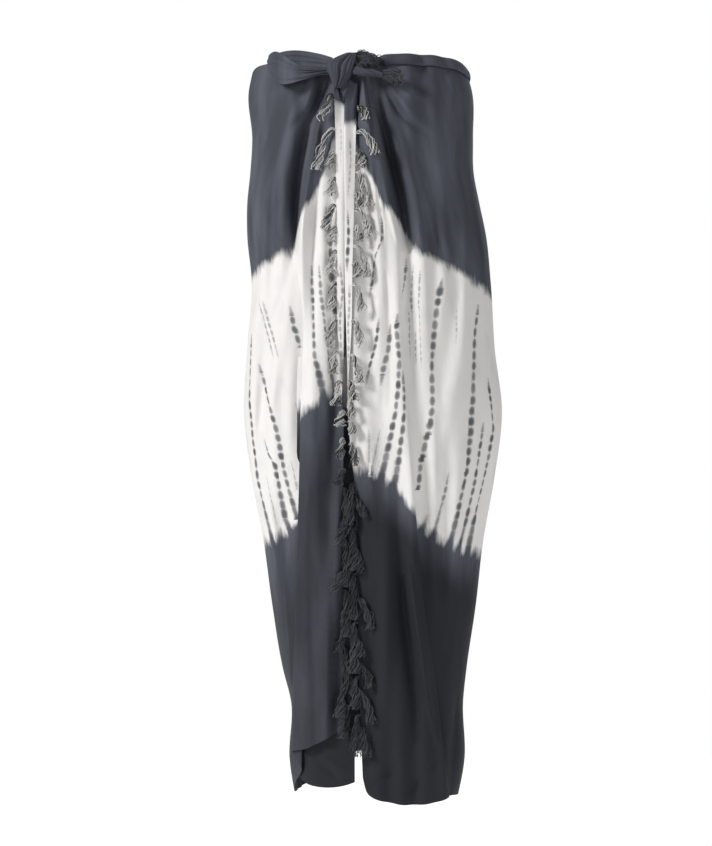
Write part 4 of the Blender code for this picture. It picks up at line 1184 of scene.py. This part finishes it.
def twisted(name, stations, groove, turns, around=48, levels=60):
    """Twisted round length of cloth through stations of X, height, stand-out and radius."""
    marks = np.linspace(0, len(stations) - 1, levels)
    x, height, out, radius = (spline(column, marks) for column in zip(*stations))
    path = [Vector(place(*values)) for values in zip(x, height, out)]
    rings = []
    for number, (point, (up, side)) in enumerate(zip(path, carry_frame(path, Vector((0, 0, 1))))):
        ring = []
        for k in range(around):
            angle = 2 * math.pi * k / around
            on_strand = angle - 2 * math.pi * turns * number / levels
            lobe = 1 - groove * abs(math.sin(ROPE_STRANDS * on_strand / 2)) ** 3
            lobe += FINE_GROOVE * math.sin(FINE_STRANDS * on_strand + 3)
            outwards = math.cos(angle) * up + math.sin(angle) * side
            ring.append(point + float(radius[number]) * lobe * outwards)
        rings.append(ring)
    return closed_tube(name, rings)


knot = closed_tube("knot", knot_rings())
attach(knot, "root")
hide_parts("knot_band")
for piece_name, stations, turns in (("knot_tip", TIP, 0.2), ("tucked_corner", TUCKED_CORNER, 0.3)):
    tip = twisted(piece_name, stations, TIP_GROOVE, turns)
    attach(tip, "root")
    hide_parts("knot_tuck")

# The twisted tail
# The first corner comes through the knot twisted like a rope and lies on the cloth to the right
# of it, ending in its fringe.

# Stations: X, height, stand-out and radius
TAIL = (
    (-10.8, 10, 19, 6.2),
    (2, 8, 20, 6.6),
    (12, 6.5, 20, 5.8),
    (22, 5, 19, 5.0),
    (29, 4, 18, 4.2),
)
TAIL_GROOVE = 0.30
TAIL_TURNS = 0.55

tail = twisted("twisted_tail", TAIL, TAIL_GROOVE, TAIL_TURNS)
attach(tail, "root")
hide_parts("tail_roll")

# The rolled border
# Beside the tail the top border is rolled over outwards, as far as the side. Nothing holds it
# but the pull of the cloth.

# Its section: rise over the edge, and stand-out
BORDER_ROLL = (
    (1.5, 0.6),
    (3.0, 3.4),
    (-1.5, 6.2),
    (-8.0, 6.6),
    (-14.0, 4.8),
    (-15.5, 1.2),
    (-7.0, 0.6),
)
ROLL_AROUND = 36
ROLL_LEAST = 0.5
ROLL_WAVES = ((0.12, 0.55, 0), (0.08, 1.3, 1))


def border_rings():
    """Rings of the rolled border, laid on the right front's own points."""
    marks = columns_of(RIGHT_FRONT, RIGHT_FINENESS)
    first = int(np.searchsorted(marks, [fold.name for fold in RIGHT_FRONT].index("bank")))
    last = len(marks) - 3
    closed = np.array(BORDER_ROLL + BORDER_ROLL[:3])
    turn = np.linspace(1, 1 + len(BORDER_ROLL), ROLL_AROUND, endpoint=False)
    rises, outs = (spline(closed[:, k], turn) for k in (0, 1))
    rings = []
    for column in range(first, last):
        line = right_grid[:, column]
        wave = sum(size * math.sin(rate * column + start) for size, rate, start in ROLL_WAVES)
        full = min(1.0, 0.25 + (column - first) / 8, 0.3 + (last - 1 - column) / 12)
        ring = []
        for rise, out in zip(rises, outs):
            height = line[0, 2] + rise * full
            x, y = (np.interp(-height, -line[:, 2], line[:, k]) for k in (0, 1))
            offset = right_normals[2, column] * max(out * (1 + wave) * full, ROLL_LEAST)
            ring.append((x + offset[0], y + offset[1], height))
        rings.append(ring)
    return rings


rolled_border = closed_tube("rolled_border", border_rings())
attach(rolled_border, "root")
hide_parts("right_roll")

# The fringes
# Each short end is fringed: its warp threads are left long and knotted into locks, which hang
# over the cloth beside the slit. Threads are dark, grey and white in the white band.

# Locks of each front: height, reach over the cloth, drop, and how far they lift off it. Those
# without reach hang straight down in the slit.
LEFT_LOCKS = (
    (-26, 14, 40, 2), (-74, 26, 64, 2), (-110, 8, 26, 1), (-146, 8, 28, 1), (-184, 14, 40, 2),
    (-216, 7, 24, 1), (-250, 10, 36, 2), (-296, 9, 38, 2), (-346, 9, 42, 2), (-396, 8, 34, 3),
    (-440, 7, 34, 3), (-484, 7, 18, 4), (-522, 7, 30, 3), (-567, 14, 26, 4), (-592, 0, 56, 1),
    (-640, 7, 34, 3), (-664, 0, 60, 1), (-716, 16, 28, 4), (-740, 0, 66, 1), (-800, 8, 36, 3),
    (-822, 0, 64, 1), (-882, 8, 44, 4), (-908, 0, 60, 1), (-930, 6, 26, 4),
)
RIGHT_LOCKS = (
    (-44, 16, 24, 2), (-78, 30, 42, 2), (-108, 7, 22, 1), (-136, 15, 50, 2), (-168, 7, 20, 1),
    (-190, 22, 38, 2), (-216, 7, 20, 1), (-242, 20, 50, 2), (-268, 7, 22, 1), (-298, 11, 42, 2),
    (-350, 10, 42, 2), (-400, 12, 42, 3), (-440, 9, 24, 3), (-470, 8, 20, 3), (-496, 8, 20, 3),
    (-528, 9, 34, 3), (-584, 0, 56, 6), (-608, 20, 32, 4), (-650, 0, 52, 6), (-680, 9, 36, 3),
    (-716, 0, 60, 6), (-752, 27, 44, 4), (-786, 0, 66, 6), (-812, 9, 30, 3), (-846, 24, 42, 4),
    (-866, 0, 46, 6), (-884, 25, 62, 5), (-922, 0, 62, 6), (-940, 13, 44, 4),
)
LOCK_ROOT = 0.4
LOCK_START = 3.8
LOCK_ARCH = 6
LOCK_CLEAR = 3.6
LOCK_PARTS = (0.12, 0.3, 0.5, 0.75, 1.0)
LOCK_RADII = (1.0, 1.2, 1.4, 1.5, 1.6, 1.9, 2.0)
LOCK_FINDER = 1.6
STRAIGHT_BESIDE = 5.7
STRAIGHT_RADII = (1.0, 1.2, 1.6, 2.2, 2.0)
STRAIGHT_LONGER = 1.2
LAST_LONGER = -900

# Locks of the two tied corners: height, reach to the right, rise and drop
TUFT_LOCKS = ((33, 26, 5, 3), (29, 42, 4, 4), (25, 30, 3, 4), (21, 44, 2, 4), (17, 24, 0, 3))
FAN_LOCKS = ((9, 32, 3, 2), (5.5, 38, 2, 6), (2, 34, 0, 9), (-1.5, 24, -1, 10))
TUFT_START = (-10.5, 17)
FAN_START = (29.6, 18.5)
TAIL_LOCK_START = 2.2
TAIL_PARTS = (0.35, 0.7, 1.0)
TAIL_RADII = (1.2, 1.2, 1.3, 1.5, 1.2)
TAIL_CLEAR = 2.2
TAIL_FALL = 6

YARN_DARK = (0.026, 0.028, 0.034, 1)
YARN_GREY = (0.070, 0.073, 0.083, 1)
YARN_SILVER = (0.40, 0.40, 0.40, 1)
YARN_WHITE = (0.68, 0.675, 0.66, 1)
YARN_POINTS = 22

# Each yarn's own share: how far it lies from the middle of its lock at the knot and lower
# down, how far it curls out, and where it is cut
YARN_APART = (0.15, 1.2)
YARN_LOOSENED = (0.5, 1.3)
YARN_CURLED = (1.0, 1.35)
YARN_CUT = (0.72, 1.0)

# Heights in metres over which the threads turn pale, up from the band's foot and at its top
PALE_FROM = (-0.57, -0.50)
PALE_UP_TO = (-0.07, -0.01)
YARN_SIZES = {"Yarns": 24, "Spread": 2.9, "Turns": 1.1, "Curl": 18.0,
              "Yarn Radius": 0.00055, "Flatness": 0.55, "Seed": 11}


def make_thread():
    """Material of the loose threads, dark, grey or white by each yarn's own number."""
    thread = bpy.data.materials.new("mixed_thread")
    thread.use_nodes = True
    tree = thread.node_tree
    surface = tree.nodes["Principled BSDF"]
    here = add_node(tree, "ShaderNodeTexCoord").outputs["Object"]
    height = add_node(tree, "ShaderNodeSeparateXYZ", {0: here}).outputs["Z"]
    under_top = between(tree, soft_step(tree, height, *PALE_UP_TO), 1.0, 0.0)
    in_band = product(tree, soft_step(tree, height, *PALE_FROM), under_top)
    along = add_node(tree, "ShaderNodeTexNoise", {"Vector": here, "Scale": 90.0}).outputs["Fac"]
    number = total(tree, attribute(tree, "yarn"), between(tree, along, -0.25, 0.25))
    colour = mixed(tree, soft_step(tree, number, 0.35, 0.55), YARN_DARK, YARN_GREY)
    silver = product(tree, in_band, soft_step(tree, number, 0.18, 0.3))
    colour = mixed(tree, silver, colour, YARN_SILVER)
    white = product(tree, in_band, soft_step(tree, number, 0.55, 0.75))
    tree.links.new(mixed(tree, white, colour, YARN_WHITE), surface.inputs["Base Color"])
    fibre = add_node(tree, "ShaderNodeTexNoise", {"Vector": here, "Scale": 1400.0, "Detail": 2.0})
    bump = add_node(tree, "ShaderNodeBump",
                    {"Height": fibre.outputs["Fac"], "Strength": 0.6, "Distance": 0.0006})
    tree.links.new(bump.outputs[0], surface.inputs["Normal"])
    set_inputs(surface, {"Roughness": 0.85, "Sheen Weight": 0.1, "Specular IOR Level": 0.2})
    return thread


def vector_maths(tree, operation, inputs):
    """Result of a vector math node."""
    return add_node(tree, "ShaderNodeVectorMath", inputs, operation=operation).outputs[0]


def yarn_tree(material):
    """Geometry Nodes that turn each lock's line into a loose twisted bundle of yarns."""
    tree = bpy.data.node_groups.new("lock_of_yarns", "GeometryNodeTree")
    tree.interface.new_socket("Geometry", in_out="INPUT", socket_type="NodeSocketGeometry")
    for label, size in YARN_SIZES.items():
        kind = "NodeSocketInt" if isinstance(size, int) else "NodeSocketFloat"
        tree.interface.new_socket(label, in_out="INPUT", socket_type=kind).default_value = size
    tree.interface.new_socket("Geometry", in_out="OUTPUT", socket_type="NodeSocketGeometry")
    given = add_node(tree, "NodeGroupInput").outputs
    fine = add_node(tree, "GeometryNodeResampleCurve", {"Curve": given["Geometry"], "Count": YARN_POINTS})
    several = add_node(tree, "GeometryNodeDuplicateElements",
                       {"Geometry": fine.outputs[0], "Amount": given["Yarns"]}, domain="SPLINE")
    whose = add_node(tree, "GeometryNodeCurveOfPoint").outputs["Curve Index"]
    part = add_node(tree, "GeometryNodeSplineParameter").outputs["Factor"]

    def chance(low, high, shift):
        """Random number of each yarn's own."""
        made = add_node(tree, "FunctionNodeRandomValue",
                        {"ID": whose, "Seed": total(tree, given["Seed"], shift), 2: low, 3: high},
                        data_type="FLOAT")
        return made.outputs[1]

    # How far a yarn runs from its lock's line, and on which side, as it twists and curls
    shade = add_node(tree, "GeometryNodeStoreNamedAttribute",
                     {"Geometry": several.outputs["Geometry"], "Name": "yarn", "Value": chance(0, 1, 1)},
                     data_type="FLOAT", domain="POINT")
    turn = total(tree, chance(0, 2 * math.pi, 2), product(tree, part, given["Turns"], 2 * math.pi))
    curl = maths(tree, "SINE", total(tree, product(tree, part, given["Curl"]), chance(0, 2 * math.pi, 5)))
    far = product(tree, add_node(tree, "GeometryNodeInputRadius").outputs[0], given["Spread"],
                  chance(*YARN_APART, 3), between(tree, maths(tree, "POWER", part, 0.8), *YARN_LOOSENED),
                  between(tree, curl, *YARN_CURLED))
    normal = add_node(tree, "GeometryNodeInputNormal").outputs[0]
    tangent = add_node(tree, "GeometryNodeInputTangent").outputs[0]
    across = vector_maths(tree, "CROSS_PRODUCT", {0: tangent, 1: normal})

    def along(axis, wave):
        """A yarn's way out along one axis."""
        return vector_maths(tree, "SCALE", {0: axis, "Scale": product(tree, far, maths(tree, wave, turn))})

    offset = vector_maths(tree, "ADD", {0: along(normal, "COSINE"), 1: along(across, "SINE")})
    flatter = add_node(tree, "ShaderNodeCombineXYZ",
                       {"X": 1.0, "Y": given["Flatness"], "Z": 1.0}).outputs[0]
    offset = vector_maths(tree, "MULTIPLY", {0: offset, 1: flatter})

    # The yarns are cut to uneven lengths and given a thin round skin
    moved = add_node(tree, "GeometryNodeSetPosition", {"Geometry": shade.outputs[0], "Offset": offset})
    cut = add_node(tree, "GeometryNodeTrimCurve", {"Curve": moved.outputs[0], "End": chance(*YARN_CUT, 4)},
                   mode="FACTOR")
    even = add_node(tree, "GeometryNodeSetCurveRadius", {"Curve": cut.outputs[0], "Radius": 1.0})
    profile = add_node(tree, "GeometryNodeCurvePrimitiveCircle",
                       {"Resolution": 4, "Radius": given["Yarn Radius"]}, mode="RADIUS")
    skin = add_node(tree, "GeometryNodeCurveToMesh",
                    {"Curve": even.outputs[0], "Profile Curve": profile.outputs[0], "Fill Caps": True})
    real = add_node(tree, "GeometryNodeRealizeInstances", {"Geometry": skin.outputs[0]})
    finish = add_node(tree, "GeometryNodeSetMaterial", {"Geometry": real.outputs[0], "Material": material})
    tree.links.new(finish.outputs[0], add_node(tree, "NodeGroupOutput").inputs[0])
    return tree


def yarns_from(name, lines, tree, sizes):
    """Plain mesh of yarns, from lines of points in metres with a lock radius at each point."""
    curve = bpy.data.curves.new(name + "_lines", "CURVE")
    curve.dimensions = "3D"
    for points, radii in lines:
        marks = np.linspace(0, len(points) - 1, 4 * len(points))
        strand = curve.splines.new("POLY")
        strand.points.add(len(marks) - 1)
        x, y, z = (spline([point[k] for point in points], marks) for k in range(3))
        strand.points.foreach_set("co", np.stack((x, y, z, np.ones(len(marks))), axis=1).ravel())
        strand.points.foreach_set("radius", spline(radii, marks) * MM)
    source = bpy.data.objects.new(name + "_source", curve)
    scene.collection.objects.link(source)
    modifier = source.modifiers.new("yarns", "NODES")
    modifier.node_group = tree
    sockets = {item.name: item.identifier for item in tree.interface.items_tree if item.in_out == "INPUT"}
    for label, size in sizes.items():
        modifier[sockets[label]] = size
    bpy.context.view_layer.update()
    made = bpy.data.meshes.new_from_object(source.evaluated_get(bpy.context.evaluated_depsgraph_get()))
    bpy.data.objects.remove(source)
    made.name = name
    made.shade_smooth()
    thing = bpy.data.objects.new(name, made)
    scene.collection.objects.link(thing)
    return thing


def surface_finder(things):
    """Function that gives the foremost Y of the cloth near an X and a height."""
    mesh = bmesh.new()
    for thing in things:
        mesh.from_mesh(thing.data)
    tree = BVHTree.FromBMesh(mesh)
    mesh.free()

    def foremost(x, height, spread):
        """Least Y that a grid of nine looks from the front meets."""
        depths = [0.0]
        for shift_x in (-spread, 0, spread):
            for shift_z in (-spread, 0, spread):
                hit = tree.ray_cast(Vector((x + shift_x, -1, height + shift_z)), Vector((0, 1, 0)))[0]
                if hit is not None:
                    depths.append(hit.y)
        return min(depths)
    return foremost


def edge_at(grid, height):
    """Point of a front's fringed edge at a height, and the way that the edge faces."""
    edge, inner = (Vector([float(np.interp(-height, -grid[:, 0, 2], grid[:, column, k])) for k in range(3)])
                   for column in (0, 3))
    ahead = edge - inner
    ahead.z = 0
    return edge * MM, ahead.normalized()


def fringe_lines(grid, locks, away, foremost):
    """Lines of a front's locks: out of the edge, forward, then down over the cloth."""
    lines = []
    for height, reach, drop, lift in locks:
        edge, ahead = edge_at(grid, height)
        root = edge - ahead * LOCK_ROOT * MM
        start = root + ahead * LOCK_START * MM
        path = [root, start]
        if reach == 0:
            length = drop * (STRAIGHT_LONGER if height > LAST_LONGER else 1.0)
            beside = math.copysign(STRAIGHT_BESIDE, ahead.x)
            path.append(Vector((root.x + beside * MM, root.y - lift * MM, start.z - 3.5 * MM)))
            path += [path[2] + Vector((0, -0.3 * part, -part * (length - 4))) * MM for part in (0.5, 1)]
            lines.append((path, STRAIGHT_RADII))
            continue
        for part in LOCK_PARTS:
            x = start.x + away * reach * (math.sin(part * math.pi / 2) - 0.1) * MM
            z = start.z + (LOCK_ARCH * math.sin(math.pi * min(part * 2, 1)) - drop * part ** 1.4) * MM
            behind = min(foremost(x, z, LOCK_FINDER * MM), start.y)
            path.append(Vector((x, behind - (LOCK_CLEAR + lift * part) * MM, z)))
        lines.append((path, LOCK_RADII))
    return lines


def tail_lines(begin, locks, foremost):
    """Lines of a tied corner's locks, lying to the right."""
    lines = []
    for height, reach, rise, drop in locks:
        root = Vector(place(begin[0], height, begin[1])) * MM
        path = [root, root + Vector((TAIL_LOCK_START, 0, 0)) * MM]
        for part in TAIL_PARTS:
            x = root.x + reach * part * MM
            z = root.z + (rise * math.sin(part * math.pi) - drop * part ** 2) * MM
            over_cloth = foremost(x, z, TAIL_CLEAR * MM) - TAIL_CLEAR * MM
            path.append(Vector((x, min(over_cloth, root.y + TAIL_FALL * part * MM), z)))
        lines.append((path, TAIL_RADII))
    return lines


over_fronts = surface_finder((left_cloth, right_cloth, under_cloth))
over_tail = surface_finder((right_cloth, rolled_border, tail))
over_border = surface_finder((right_cloth, rolled_border))
lock_of_yarns = yarn_tree(make_thread())
left_locks = fringe_lines(left_grid, LEFT_LOCKS, -1, over_fronts)
right_locks = fringe_lines(right_grid, RIGHT_LOCKS, 1, over_fronts)
tuft_locks = tail_lines(TUFT_START, TUFT_LOCKS, over_tail)
fan_locks = tail_lines(FAN_START, FAN_LOCKS, over_border)
FRINGES = (
    ("left_fringe_yarns", "left_fringe", left_locks, 24, 2.9, 11),
    ("right_fringe_yarns", "right_fringe", right_locks, 24, 2.9, 12),
    ("upper_tail_yarns", "tail_tuft", tuft_locks, 34, 3.0, 13),
    ("lower_tail_yarns", "tail_fan", fan_locks, 22, 1.7, 14),
)
for piece_name, node_name, lock_lines, yarns, spread, seed in FRINGES:
    fringe_piece = yarns_from(piece_name, lock_lines, lock_of_yarns,
                              {**YARN_SIZES, "Yarns": yarns, "Spread": spread, "Seed": seed})
    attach(fringe_piece, "root")
    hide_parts(node_name)
